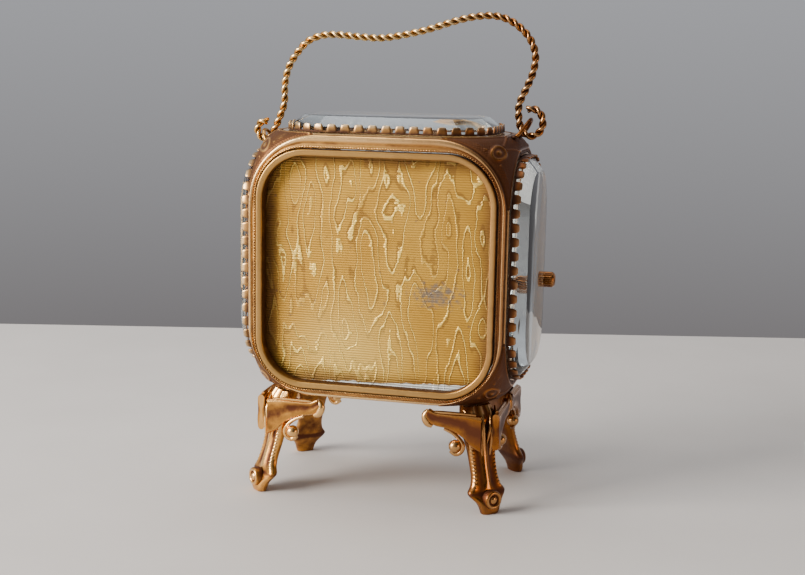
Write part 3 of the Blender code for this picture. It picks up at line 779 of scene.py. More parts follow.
@dataclass(frozen=True)
class EmbossedPaper:
    """Gold watered paper on card: ribs, pale veins, brown specks, a grey stain and a torn lower edge,
    with a painted sheen below the middle and painted shade along its edges.
    """

    stain: tuple
    # Middle of the painted highlight: a pale gold sheen spot.
    sheen_spot: tuple
    half_width: float
    lower_edge: float
    name: str = "embossed_paper"
    ground: tuple = (0.46, 0.235, 0.022)
    vein: tuple = (0.88, 0.62, 0.14)
    shade: tuple = (0.17, 0.075, 0.012)

    def build(self, group: bpy.types.NodeTree) -> bpy.types.Material:
        """Makes the material from the watered ribs group.

        Args:
            group: the shader node group that it uses.

        Returns:
            The material.
        """
        made, graph, shader = principled(self.name)
        place = graph.add("TexCoord").outputs["Object"]
        effect = graph.add("Group", node_tree=group)
        effect.inputs["Rib pitch"].default_value = 0.00064
        effect.inputs["Vein width"].default_value = 0.009
        out = effect.outputs
        blotch = graph.ramp(graph.noise(place, 55.0, 4.0, 0.6), 0.35, 0.70)
        colour = graph.mix(graph.times(blotch, 0.5), (*self.ground, 1), (0.62, 0.36, 0.045, 1))
        colour = graph.mix(graph.times(graph.rest(out["Rib"]), 0.34), colour,
                           (*self.shade, 1))
        colour = graph.mix(graph.times(out["Edge"], 0.60), colour, (*self.shade, 1))
        colour = graph.mix(graph.times(out["Vein"], 0.80), colour, (*self.vein, 1))
        colour = graph.mix(graph.times(out["Speck"], 0.6), colour, (0.16, 0.09, 0.05, 1))
        offset = graph.add("VectorMath", {0: place, 1: self.stain}, operation="SUBTRACT").outputs[0]
        squeezed = graph.add("VectorMath", {0: offset, 1: (120, 60, 250)}, operation="MULTIPLY").outputs[0]
        reach = graph.add("VectorMath", {0: squeezed}, operation="LENGTH").outputs["Value"]
        ragged = graph.plus(reach, graph.times(graph.noise(place, 900.0, 4.0), 2.6))
        stain = graph.rest(graph.ramp(ragged, 1.3, 2.3))
        colour = graph.mix(graph.times(stain, 0.85), colour, (0.15, 0.125, 0.105, 1))
        split = graph.add("SeparateXYZ", {0: place})
        # Painted highlight: a pale gold sheen, strongest at the sheen spot and fading out over 24 mm.
        sheen_spot = graph.add("VectorMath", {0: place, 1: self.sheen_spot}, operation="DISTANCE").outputs["Value"]
        sheen_spot = graph.rest(graph.ramp(sheen_spot, 0.001, 0.024))
        colour = graph.mix(graph.times(sheen_spot, 0.42), colour, (0.95, 0.68, 0.17, 1))
        # Painted shade: the paper darkens towards its edges, next to the bezel. The sheen spot's height plus
        # 24 mm is the panel's middle.
        sides = graph.math("DIVIDE", graph.math("ABSOLUTE", split.outputs["X"]), self.half_width)
        ends = graph.less(split.outputs["Z"], self.sheen_spot[2] + 0.024)
        ends = graph.math("DIVIDE", graph.math("ABSOLUTE", ends), self.half_width)
        rim = graph.math("MAXIMUM", sides, ends)
        rim = graph.plus(rim, graph.times(graph.noise(place, 130.0, 4.0), 0.14))
        rim = graph.times(graph.ramp(rim, 0.90, 1.06), 0.80)
        colour = graph.mix(rim, colour, (0.13, 0.050, 0.012, 1))
        torn = graph.plus(split.outputs["Z"], graph.times(split.outputs["X"], 0.04))
        torn = graph.plus(torn, graph.times(graph.noise(place, 500.0, 4.0), -0.0014))
        torn = graph.rest(graph.ramp(torn, self.lower_edge, self.lower_edge + 0.0003))
        colour = graph.mix(torn, colour, (0.72, 0.72, 0.66, 1))
        relief = graph.plus(graph.times(out["Rib"], 0.55), out["Vein"])
        hills = graph.add("Bump", {"Height": relief, "Distance": 0.00016, "Strength": 0.75})
        rough = graph.math("MULTIPLY_ADD", graph.noise(place, 300.0, 3.0), 0.22, 0.34)
        shader.inputs["Metallic"].default_value = 0.60
        graph.feed(shader, {"Base Color": colour, "Roughness": rough, "Normal": hills.outputs[0]})
        return made


@dataclass(frozen=True)
class Silk:
    """Pale silk with a plain weave and a soft sheen."""

    name: str
    colour: tuple
    faded: tuple
    thread: float = 0.00045

    def build(self, group: bpy.types.NodeTree) -> bpy.types.Material:
        """Makes the material from the silk weave group.

        Args:
            group: the shader node group that it uses.

        Returns:
            The material.
        """
        made, graph, shader = principled(self.name)
        place = graph.add("TexCoord").outputs["Object"]
        effect = graph.add("Group", node_tree=group)
        effect.inputs["Thread"].default_value = self.thread
        blotch = graph.ramp(graph.noise(place, 70.0, 4.0, 0.6), 0.35, 0.7)
        colour = graph.mix(blotch, (*self.colour, 1), (*self.faded, 1))
        colour = graph.mix(graph.times(effect.outputs["Slub"], 0.22), colour,
                           (0.55, 0.52, 0.44, 1))
        hills = graph.add("Bump", {"Height": effect.outputs["Height"], "Distance": 0.00008,
                                   "Strength": 0.6})
        rough = graph.math("MULTIPLY_ADD", effect.outputs["Slub"], 0.25, 0.42)
        shader.inputs["Sheen Weight"].default_value = 0.4
        graph.feed(shader, {"Base Color": colour, "Roughness": rough, "Normal": hills.outputs[0]})
        return made


@dataclass
class Finishes:
    """Every finish of the casket, each made once."""

    gilt: bpy.types.Material
    band: bpy.types.Material
    claw: bpy.types.Material
    cast: bpy.types.Material
    wire: bpy.types.Material
    glass: bpy.types.Material
    paper: bpy.types.Material
    lining: bpy.types.Material
    silk: bpy.types.Material

    @classmethod
    def make(cls) -> "Finishes":
        """Builds the node groups and the materials that use them.

        Returns:
            The finishes.
        """
        metal = worn_shaded_metal_group()
        weave = silk_weave_group()
        card_low, card_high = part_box("back_panel_card")
        middle = (card_low + card_high) / 2
        stain = (middle.x - 16.5 * MM, card_high.y, middle.z - 5.0 * MM)
        # Middle of the painted highlight, 24 mm below the panel's middle.
        sheen_spot = (middle.x + 8.0 * MM, card_high.y, middle.z - 24.0 * MM)
        return cls(
            gilt=Gilding("gilt_sheet", (0.74, 0.38, 0.10), (0.95, 0.72, 0.40), (0.09, 0.028, 0.008),
                         0.95, 0.50, 0.18).build(metal),
            band=Gilding("plain_band", (0.42, 0.225, 0.06), (0.70, 0.46, 0.20), (0.07, 0.028, 0.010),
                         0.95, 0.35, 0.24, 0.30).build(metal),
            claw=Gilding("claw_gilt", (0.42, 0.22, 0.07), (0.92, 0.72, 0.44), (0.05, 0.018, 0.007),
                         1.0, 0.60, 0.24).build(metal),
            cast=Gilding("cast_gilt", (0.78, 0.36, 0.07), (0.98, 0.74, 0.38), (0.085, 0.022, 0.006),
                         1.0, 0.50, 0.14).build(metal),
            wire=Gilding("gilt_wire", (0.66, 0.34, 0.08), (0.99, 0.80, 0.45), (0.035, 0.012, 0.005),
                         1.0, 0.60, 0.13).build(metal),
            glass=BevelledGlass().build(),
            paper=EmbossedPaper(stain, sheen_spot, 30.5 * MM, card_low.z + 1.0 * MM).build(watered_ribs_group()),
            lining=Silk("lining_silk", (0.80, 0.82, 0.80), (0.72, 0.73, 0.68)).build(weave),
            silk=Silk("cushion_silk", (0.86, 0.85, 0.78), (0.76, 0.73, 0.64)).build(weave))


# ---------------------------------------------------------------- glazing
@dataclass
class Glazing:
    """A bevelled glass and the claw ring that holds it."""

    word: str
    facing: Facing
    body: Body
    radius: float
    bevel: float = 3.6 * MM
    rim: float = 1.6 * MM
    claw_pitch: float = 3.67 * MM
    claw_low: float = 0.45 * MM
    claw_half: float = 0.335
    wall: float = 0.5 * MM
    arris: float = 0.15 * MM
    stations: int = 22

    def glass(self, finish: bpy.types.Material) -> None:
        """The slab: flat back, thin rounded rim, wide flat bevel and flat front.

        Rows run from the middle of the back, over the rim, to the middle of the front.
        

        Args:
            finish: the glass's finish.
        """
        node = f"glass_{self.word}"
        half, middle = seat(node, self.facing)
        path = rounded_path(half[0], half[1], self.radius, 240)
        thick = 2 * half[2]
        arris = self.arris
        inset = np.array([arris, 0, 0, arris, self.bevel - arris, self.bevel + arris])
        height = np.array([0, arris, self.rim - arris, self.rim, thick - arris / 2, thick])
        skin = swept(path, -inset, height).transpose(1, 0, 2)
        Piece(f"{node}_clear").add_closed(placed(skin, self.facing, middle), 0.2).build(
            self.body, "bevelled_glass", finish, (node,), 18.0)

    def claws(self, finish: bpy.types.Material) -> None:
        """The ring: a thin upright wall whose top rises and falls. Over a claw its height is
        low + (high - low) * (1 - u^5)^0.35, where u is the distance from the claw's middle over half
        its width, and each claw leans in over the glass.

        Args:
            finish: the claw ring's finish.
        """
        node = f"claw_ring_{self.word}"
        half, middle = seat(node, self.facing)
        wall = self.wall
        high = 2 * half[2]
        length = rounded_path(half[0], half[1], self.radius + wall, 400).length
        claws = round(length / self.claw_pitch)
        path = rounded_path(half[0] - wall / 2, half[1] - wall / 2, self.radius + wall / 2,
                            claws * self.stations)
        u = (np.arange(claws * self.stations) / self.stations) % 1 - 0.5
        dome = np.clip(1 - np.abs(u / self.claw_half) ** 5, 0, 1) ** 0.35
        top = self.claw_low + (high - self.claw_low) * dome
        turn = np.linspace(0, np.pi, 7)
        rise = np.concatenate([[0.0, 0.5], np.ones(7), [0.5, 0.0]])
        side = np.concatenate([[1, 1], np.cos(turn), [-1, -1]]) * wall / 2
        cap = np.concatenate([[0, 0], np.sin(turn) * 0.5, [0, 0]]) * wall / 2
        up = rise[None] * (top[:, None] - wall / 4) + cap[None]
        lean = 0.30 * MM * (up / high) ** 2 - 0.16 * MM * dome[:, None] * (up / high)
        out = np.broadcast_to(side, up.shape) * (0.75 + 0.25 * dome[:, None]) - lean
        cavity = np.clip(0.95 - 0.9 * up / high + 0.25 * (side[None] < 0), 0, 1)
        grid = placed(swept(path, out, up), self.facing, middle)
        Piece(f"{node}_crimped").add(grid, cavity, close_rows=True).build(
            self.body, "gilt_brass", finish, (node,), 60.0)

    def build(self, finishes: Finishes) -> None:
        """Makes both pieces."""
        self.glass(finishes.glass)
        self.claws(finishes.claw)


# ---------------------------------------------------------------- stamped corners
@dataclass
class StampedCorner:
    """A cut-back corner of the body with a rosette at each end, on a stippled ground."""

    word: str
    side_x: int
    side_z: int
    cut: float = 18.0 * MM
    face: float = 28.9 * MM
    edge: float = 4.5 * MM
    wall: float = 1.2 * MM
    lip: float = 2.0 * MM
    sunk: float = 0.15 * MM

    def _radius(self, depth: Array) -> Array:
        """Corner radius at a distance behind the nearer face: a quarter ellipse from the cut at
        the face down to the edge radius."""
        share = np.clip(1 - depth / self.cut, 0, 1)
        return self.edge + (self.face - self.edge) * (1 - np.sqrt(1 - share**2))

    def _relief(self, depth: Array, arc: Array, half_arc: Array) -> Array:
        """Height of the stamping over a place that is the given depth behind the end, and the given
        distance round the corner from its middle: an almond boss with a raised middle and a rolled
        border, leaves that taper from it along the end, a smooth rim along both sides and a stipple.

        Args:
            depth: distance behind the end.
            arc: distance round the corner from its middle.
            half_arc: half of the way round the corner.

        Returns:
            Height of the stamping at each place.
        """
        toward = depth - 3.0 * MM
        away = np.hypot(toward / 1.25, arc / (1.0 + 0.12 * toward / MM * (toward > 0)))
        boss = 0.50 * bump(away, 0, 0.8 * MM) + 0.42 * bump(away, 1.75 * MM, 0.42 * MM)
        spine = depth - 1.1 * MM - 0.05 * (np.abs(arc) - 3 * MM)
        taper = np.clip(1 - np.abs(arc) / (11 * MM), 0, 1) * (np.abs(arc) > 2.6 * MM)
        leaf = taper * bump(spine, 0, 0.45 * MM) * (0.30 + 0.12 * np.cos(arc / (0.42 * MM)))
        scroll = np.abs(np.abs(arc) - (0.6 * MM + 0.28 * (depth - 6 * MM)))
        leaf = leaf + bump(scroll, 0, 0.35 * MM) * (depth > 6.0 * MM) * 0.28
        border = half_arc - np.abs(arc)
        line = 0.40 * bump(border, 0.9 * MM, 0.36 * MM)
        ground = (away > 2.4 * MM) & (border > 1.5 * MM)
        stipple = 0.09 * np.sin(depth / (0.13 * MM)) * np.sin(arc / (0.12 * MM)) * ground
        return (boss + leaf + line + stipple) * MM

    def build(self, finishes: Finishes) -> None:
        """Outer and inner skins over depth and angle, joined along their edges.

        Args:
            finishes: the casket's finishes.
        """
        node = f"corner_{self.word}"
        low, high = corners(node)
        middle_y = (low[1] + high[1]) / 2
        half_y = (high[1] - low[1]) / 2
        corner_x = high[0] if self.side_x > 0 else low[0]
        corner_z = high[2] if self.side_z > 0 else low[2]
        along = np.linspace(-half_y, half_y, 420)[:, None]
        angle = np.radians(np.linspace(0, 90, 170))[None]
        depth = half_y + self.lip - np.abs(along)
        radius = self._radius(depth)
        arc = radius * (angle - np.pi / 4)
        relief = self._relief(depth - self.lip, arc, radius * np.pi / 4)
        fade = np.clip((radius * np.pi / 4 - np.abs(arc)) / (0.5 * MM), 0, 1)
        relief = relief * fade * 0.8 - self.sunk * fade

        def skin(reach: Array) -> Array:
            """Points at a distance from each corner centre.

            Args:
                reach: distance from each corner centre.

            Returns:
                (rows, columns, 3) points.
            """
            x = corner_x - self.side_x * (radius - reach * np.cos(angle))
            z = corner_z - self.side_z * (radius - reach * np.sin(angle))
            y = np.broadcast_to(middle_y + along, x.shape)
            return np.stack([x, y, z], 2)

        cavity = np.clip(0.85 - relief / (0.34 * MM), 0, 1)
        Piece(f"{node}_stamped").add_shell(skin(radius + relief), skin(radius - self.wall), cavity).build(
            Body.CASE, "gilt_brass", finishes.gilt, (node,), 50.0)


# ---------------------------------------------------------------- face frames
@dataclass
class FaceFrame:
    """A flat face frame with a rounded outer edge, a rope edge inside it and a rounded band."""

    node: str
    facing: Facing
    body: Body
    outer_radius: float
    inner_half: tuple[float, float]
    inner_radius: float
    drop: float = 0.0
    rope: bool = True
    rope_inset: float = 0.30 * MM
    rope_radius: float = 0.22 * MM
    rope_relief: float = 0.07 * MM
    rope_pitch: float = 0.72 * MM
    count: int = 1100

    def build(self, finishes: Finishes) -> None:
        """Carries one profile round the frame: its outer points follow the outer outline, its
        inner points the opening, and between them it moves evenly from one to the other. A rope of
        slanted beads stands along the opening.

        Args:
            finishes: the casket's finishes.
        """
        half, middle = seat(self.node, self.facing)
        outer = rounded_path(half[0], half[1], self.outer_radius, self.count)
        inner = rounded_path(*self.inner_half, self.inner_radius, self.count)
        inner.points[:, 1] += self.drop
        share = np.array([0.0, 0.0, 0.02, 0.06, 0.14, 0.26, 0.38, 0.48, 0.56, 0.62, 0.68, 0.80, 0.93,
                          0.985, 1.0, 1.0, 1.0, 0.5])
        thick = 2 * half[2]
        height = np.array([0.0, 0.45, 0.62, 0.80, 0.95, 1.0, 0.96, 0.84, 0.72, 0.70, 0.72, 0.74, 0.74,
                           0.68, 0.55, 0.3, 0.0, 0.0]) * thick
        flat = outer.points[:, None] * (1 - share[:, None]) + inner.points[:, None] * share[:, None]
        grid = np.concatenate([flat, np.broadcast_to(height[:, None], (*flat.shape[:2], 1))], 2)
        hollow = np.clip(1.1 - height / thick, 0, 1) + 0.35 * bump(share, 0.62, 0.10)
        piece = Piece(f"{self.node}_stamped")
        piece.add(placed(grid, self.facing, middle), np.clip(hollow, 0, 1), close_rows=True)
        if self.rope:
            across, upright = self.inner_half
            path = rounded_path(across + self.rope_inset, upright + self.rope_inset,
                                self.inner_radius + self.rope_inset, self.count * 2)
            path.points[:, 1] += self.drop
            turn = np.linspace(0, 2 * np.pi, 8, endpoint=False)
            twist = path.along[:, None] / self.rope_pitch * 2 * np.pi + 2 * turn
            radius = self.rope_radius + self.rope_relief * np.cos(twist)
            beads = swept(path, radius * np.cos(turn), 0.74 * thick + radius * np.sin(turn))
            cavity = np.clip(0.55 - 0.5 * np.cos(twist), 0, 1)
            piece.add(placed(beads, self.facing, middle), cavity, close_rows=True)
        piece.build(self.body, "gilt_brass", finishes.gilt, (self.node,), 50.0)


@dataclass
class PaperedBack:
    """The bezel and the embossed panel inside it."""

    radius: float = 13.5 * MM
    wall: float = 1.7 * MM
    wave: float = 0.054 * MM
    crown: float = 0.18 * MM

    def bezel(self, finishes: Finishes) -> None:
        """A plain band with a rounded face, which slopes a little down to the panel.

        Args:
            finishes: the casket's finishes.
        """
        half, middle = seat("back_bezel", Facing.BACK)
        path = rounded_path(half[0], half[1], self.radius, 480)
        out = -np.array([0, 0, 0.03, 0.10, 0.2, 0.5, 0.78, 0.88, 0.96, 1.0, 1.0, 0.5]) * self.wall
        up = np.array([0, 0.90, 0.96, 0.99, 1.0, 0.985, 0.965, 0.955, 0.92, 0.86, 0.0, 0.0]) * 2 * half[2]
        cavity = np.array([1, 0.9, 0.6, 0.35, 0.2, 0.2, 0.25, 0.3, 0.5, 0.8, 1, 1])
        grid = placed(swept(path, out, up), Facing.BACK, middle)
        Piece("back_bezel_rounded").add(grid, cavity, close_rows=True).build(
            Body.CASE, "aged_brass", finishes.band, ("back_bezel",), 50.0)

    def panel(self, finishes: Finishes) -> None:
        """The card, a little domed and uneven: rings from the rim to the middle, whose face is raised
        by wave * sin(across) * cos(upright) and by crown * (1 - share of the way out, squared).

        Args:
            finishes: the casket's finishes.
        """
        half, middle = seat("back_panel_card", Facing.BACK)
        path = rounded_path(half[0], half[1], self.radius, 360)
        shares = np.linspace(1, 0.004, 70)[:, None, None]
        flat = path.points[None] * shares
        wave = self.wave * np.sin(flat[..., 0] / (9 * MM) + 0.7) * np.cos(flat[..., 1] / (13 * MM))
        dome = self.crown * (1 - shares[..., 0] ** 2)
        face = (1.1 * half[2] + wave + dome)[..., None]
        top = np.concatenate([flat, face], 2)
        under = np.concatenate([flat[::-1], np.zeros_like(face)], 2)
        grid = placed(np.concatenate([under, top]), Facing.BACK, middle)
        Piece("back_panel_papered").add_closed(grid).build(
            Body.CASE, "embossed_paper", finishes.paper, ("back_panel_card",), 30.0)

    def build(self, finishes: Finishes) -> None:
        """Makes the papered back."""
        self.bezel(finishes)
        self.panel(finishes)


# ---------------------------------------------------------------- legs
@dataclass
class CastLeg:
    """A cabriole leg with beaded edges, knee leaves, two scrolled wings and a rosette on its toe. Its
    small points are in mm."""

    word: str
    side_x: int
    side_y: int
    half_width: float = 35.0 * MM
    half_depth: float = 22.5 * MM
    wing_inset: float = 2.3
    ball_radius: float = 1.7 * MM
    ball_at: tuple = (12.5, 17.4)
    toe: tuple = (2.1 * MM, 3.9 * MM)
    sections: tuple = (
        # height, inset from the corner, half width, half depth, all in mm
        (0.0, 2.9, 2.5, 1.5), (0.9, 2.9, 2.8, 1.7), (2.6, 3.2, 3.5, 1.8), (4.6, 3.9, 5.3, 1.8),
        (5.6, 4.2, 5.6, 1.7), (7.2, 4.5, 4.5, 1.6), (9.5, 5.0, 3.9, 1.6), (13.0, 5.8, 3.9, 1.7),
        (16.5, 6.4, 4.2, 1.9), (19.5, 6.8, 4.9, 2.2), (22.5, 7.2, 5.3, 2.6), (25.0, 7.8, 5.1, 2.8),
        (27.6, 8.8, 4.3, 2.6))

    def _world(self, across: Array, outward: Array, up: Array, inset: Array) -> Array:
        """Turns places on the leg's diagonal into the casket's frame.

        Args:
            across: distance across the diagonal.
            outward: distance out along the diagonal.
            up: height.
            inset: inset from the corner.

        Returns:
            Points in the casket's frame.
        """
        root = math.sqrt(0.5)
        x = self.half_width - inset + root * (outward - across)
        y = self.half_depth - inset + root * (outward + across)
        return self._mirrored(np.stack(np.broadcast_arrays(x, y, up), -1))

    def _mirrored(self, points: Array) -> Array:
        """Takes places at the +X +Y corner of the body to this leg's corner.

        Args:
            points: points in the +X +Y corner.

        Returns:
            Points at this leg's corner.
        """
        low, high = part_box("back_frame")
        shift_x = (low.x + high.x) / 2
        shift_y = high.y - self.half_depth
        return points * (self.side_x, self.side_y, 1) + (shift_x, shift_y, 0)

    def shaft(self, piece: Piece) -> None:
        """Rounded oblong sections up the leg. Their outer side carries a middle rib between two
        channels, a beaded ridge down each edge, and three flutes on the knee.

        Args:
            piece: the piece that it is added to.
        """
        rows = spline(np.array(self.sections), 150)
        height, inset, wide, deep = (rows[:, k:k + 1] * MM for k in range(4))
        a, b = oblong(72, 0.62, 0.75)
        outer = (b > 0) * np.clip((height - 5 * MM) / (3 * MM), 0, 1)
        beads = 0.5 + 0.5 * np.cos(height / (0.95 * MM) * 2 * np.pi)
        edge = bump(np.abs(a), 0.88, 0.10)
        rib = bump(a, 0, 0.16)
        channel = bump(np.abs(a), 0.48, 0.20)
        knee = np.clip((height - 17 * MM) / (5 * MM), 0, 1)
        flutes = knee * (bump(a, 0, 0.10) + bump(np.abs(a), 0.55, 0.12) - 0.6 * bump(np.abs(a), 0.28, 0.12))
        relief = outer * (0.34 * rib * (1 - knee) - 0.42 * channel * (1 - knee)
                          + edge * (0.16 + 0.22 * beads * (1 - knee)) + 0.45 * flutes)
        grid = self._world(a * wide, b * deep * 0.92 + relief * MM, height, inset)
        cavity = np.clip(0.62 - 1.3 * relief - 0.25 * (b > 0) + 0.5 * bump(height, 5.2 * MM, 0.6 * MM), 0, 1)
        piece.add_closed(grid, cavity)

    def wing(self, piece: Piece, along_x: bool) -> None:
        """A wing under one face: rounded oblong sections from the knee to the tip, between an upper
        and a lower line, then an upright leaf at the tip, a ledge, a ball and the scroll round it.

        Args:
            piece: the piece that it is added to.
            along_x: whether it lies under the back or front face, not a side face.
        """
        upper = spline([(5.5, 26.0), (9.0, 26.2), (13.5, 26.1), (17.5, 26.2), (19.6, 27.0)], 60)
        lower = spline([(5.5, 16.2), (8.0, 17.6), (10.4, 19.9), (14.2, 21.9), (18.0, 22.6),
                        (20.4, 24.4)], 60)
        a, b = oblong(40, 0.8, 0.7)
        middle, half = (upper + lower) / 2, (upper - lower) / 2
        lip = 0.30 * bump(b, 0.92, 0.16) + 0.22 * bump(b, -0.92, 0.16) - 0.28 * bump(b, 0.15, 0.42)
        inset = middle[:, :1] + half[:, :1] * b
        rise = middle[:, 1:] + half[:, 1:] * b
        thick = a * (1.15 + lip)
        cavity = np.clip(0.55 - 1.2 * lip, 0, 1)
        piece.add_closed(self._on_face(inset, thick, rise, along_x), cavity)
        tip = spline([(18.6, 22.4), (20.0, 23.2), (20.6, 25.0), (19.9, 26.6)], 30)
        self._rod(piece, tip, np.sin(np.linspace(0.5, np.pi - 0.35, 30)) * 0.95 + 0.20, along_x)
        ledge = spline([(7.0, 26.1), (12.0, 26.2), (17.5, 26.1), (19.6, 25.6)], 40)
        self._rod(piece, ledge, np.linspace(0.45, 0.55, 40), along_x)
        hook = spline([(15.5, 21.9), (13.2, 20.9), (11.3, 19.4), (10.3, 17.6), (10.9, 15.9),
                       (12.3, 15.3), (13.6, 16.2)], 50)
        self._rod(piece, hook, np.linspace(0.45, 0.70, 50), along_x)
        ball = self._on_face(self.ball_at[0], 0.0, self.ball_at[1], along_x)
        piece.add_ball(ball, (self.ball_radius,) * 3, 0.1)

    def _on_face(self, inset: Array, thick: Array, rise: Array, along_x: bool) -> Array:
        """Places given in mm by their inset from the corner, their distance out from the middle of
        the wing and their height, under the back face (along_x) or the side face.

        Args:
            inset: inset from the corner.
            thick: distance out from the wing's middle.
            rise: height.
            along_x: whether it lies under the back or front face.

        Returns:
            Points in the casket's frame.
        """
        outward = (thick - self.wing_inset) * MM
        inset = np.asarray(inset) * MM
        x = self.half_width - inset if along_x else self.half_width + outward
        y = self.half_depth + outward if along_x else self.half_depth - inset
        return self._mirrored(np.stack(np.broadcast_arrays(x, y, np.asarray(rise) * MM), -1))

    def _rod(self, piece: Piece, line: Array, radius: Array, along_x: bool) -> None:
        """A round rod along a line that lies flat against one face.

        Args:
            piece: the piece that it is added to.
            line: (n, 2) inset and height, in mm.
            radius: radius at each point, in mm.
            along_x: whether it lies under the back or front face.
        """
        centres = self._on_face(line[:, 0], np.zeros(len(line)), line[:, 1], along_x)
        reference = np.array((0, 1, 0) if along_x else (1, 0, 0), float)
        piece.add_closed(tube(centres, radius * MM, 20, reference), 0.15)

    def leaves(self, piece: Piece) -> None:
        """Two leaf ribs on the knee, which start wide under the case and meet low on the shaft.

        Args:
            piece: the piece that it is added to.
        """
        for side in (-1, 1):
            for spread, low, thick in ((1.0, 15.0, 0.62), (0.55, 18.0, 0.45)):
                line = spline([(4.9 * spread, 2.0, 27.0), (3.9 * spread, 2.9, 24.4),
                               (2.3 * spread, 3.1, 21.4), (1.2 * spread, 2.3, low)], 60) * MM
                inset = np.interp(line[:, 2], *np.array(self.sections)[:, :2].T * MM)
                centres = self._world(side * line[:, 0], line[:, 1], line[:, 2], inset)
                radius = (0.18 + np.sin(np.linspace(0.35, np.pi - 0.1, 60))) * thick * MM
                out = np.array([self.side_x, self.side_y, 0.3])
                piece.add_closed(tube(centres, radius, 16, out), 0.1)

    def rosette(self, piece: Piece) -> None:
        """The toe's boss: a domed button inside a rolled ring, facing out along the diagonal.

        Args:
            piece: the piece that it is added to.
        """
        profile = [(0.0, 1.25), (0.45, 1.2), (0.8, 1.0), (0.95, 0.72), (1.15, 0.72), (1.3, 1.05),
                   (1.6, 1.22), (1.9, 1.05), (2.05, 0.6), (2.05, -1.0), (0.0, -1.0)]
        disc = turned(np.array(profile) * (1.22 * MM, MM), 48)
        deep = np.array([0.1, 0.1, 0.2, 1, 1, 0.3, 0.1, 0.3, 0.7, 1, 1])[:, None]
        inset, rise = self.toe
        piece.add(self._world(disc[..., 0], disc[..., 2], disc[..., 1] + rise, inset), deep)

    def build(self, finishes: Finishes) -> None:
        """Makes the leg from its parts.

        Args:
            finishes: the casket's finishes.
        """
        node = f"leg_{self.word}"
        piece = Piece(f"{node}_cast")
        self.shaft(piece)
        self.wing(piece, True)
        self.wing(piece, False)
        self.leaves(piece)
        self.rosette(piece)
        piece.build(Body.CASE, "aged_brass", finishes.cast, (node,), 55.0)


# ---------------------------------------------------------------- door fittings
@dataclass
class DoorFittings:
    """The knob, the catch, the hinge's knuckles and its pin."""

    flutes: int = 24
    sides: int = 96
    knuckles: tuple = ("hinge_knuckle_case_0", "hinge_knuckle_door_1", "hinge_knuckle_case_2",
                       "hinge_knuckle_door_3", "hinge_knuckle_case_4")

    def knob(self, finishes: Finishes) -> None:
        """A turned knob: a neck, two collars and a head with shallow flutes round it.

        Args:
            finishes: the casket's finishes.
        """
        low, high = corners("door_knob")
        out = high[0] - low[0]
        radius = (high[2] - low[2]) / 2
        profile = np.array([(0.0, 0.0), (0.55, 0.0), (0.55, 0.15), (0.95, 0.17), (1.0, 0.22), (1.0, 0.28),
                            (0.82, 0.33), (0.80, 0.44), (0.95, 0.49), (1.0, 0.55), (1.0, 0.88),
                            (0.93, 0.94), (0.75, 1.0), (0.55, 0.96), (0.0, 0.95)])
        rows = np.concatenate([np.linspace(a, b, 4, endpoint=False)
                               for a, b in zip(profile[:-1], profile[1:])] + [profile[-1:]])
        disc = turned(rows * (radius, out), self.sides)
        angle = np.linspace(0, 2 * np.pi, self.sides, endpoint=False)[None]
        head = ((rows[:, 1:] > 0.52) & (rows[:, 1:] < 0.9)) * 1.0
        flute = 1 - 0.045 * head * (0.5 - 0.5 * np.cos(self.flutes * angle))
        disc[..., :2] *= flute[..., None]
        middle = ((low + high) / 2) * (0, 1, 1) + np.array([high[0], 0, 0])
        cavity = np.clip(0.2 + 12 * (1 - flute) + 0.8 * (rows[:, :1] < 0.9) * (rows[:, 1:] < 0.9), 0, 1)
        Piece("door_knob_fluted").add(placed(disc, Facing.RIGHT, middle), cavity).build(
            Body.DOOR, "gilt_brass", finishes.gilt, ("door_knob",))

    def pin(self, finishes: Finishes) -> None:
        """The pin: a shank with a domed head at each end.

        Args:
            finishes: the casket's finishes.
        """
        low, high = corners("hinge_pin")
        radius, half = (high[0] - low[0]) / 2, (high[2] - low[2]) / 2
        turn = np.linspace(0, np.pi / 2, 7)
        cap = np.stack([2.1 * radius * np.cos(turn), half - 0.5 * MM + 0.5 * MM * np.sin(turn)], 1)[::-1]
        end = [(radius, half - 0.5 * MM)]
        upper = np.vstack([cap, end])
        profile = np.vstack([upper, (upper * (1, -1))[::-1]])
        Piece("hinge_pin_headed").add(placed(turned(profile, 32), Facing.TOP, (low + high) / 2), 0.4).build(
            Body.CASE, "aged_brass", finishes.cast, ("hinge_pin",))

    def build(self, finishes: Finishes) -> None:
        """Makes the knob and the pin, and dresses the knuckles and the catch.

        Args:
            finishes: the casket's finishes.
        """
        self.knob(finishes)
        self.pin(finishes)
        for node in (*self.knuckles, "door_catch"):
            dress_node(node, finishes.cast)


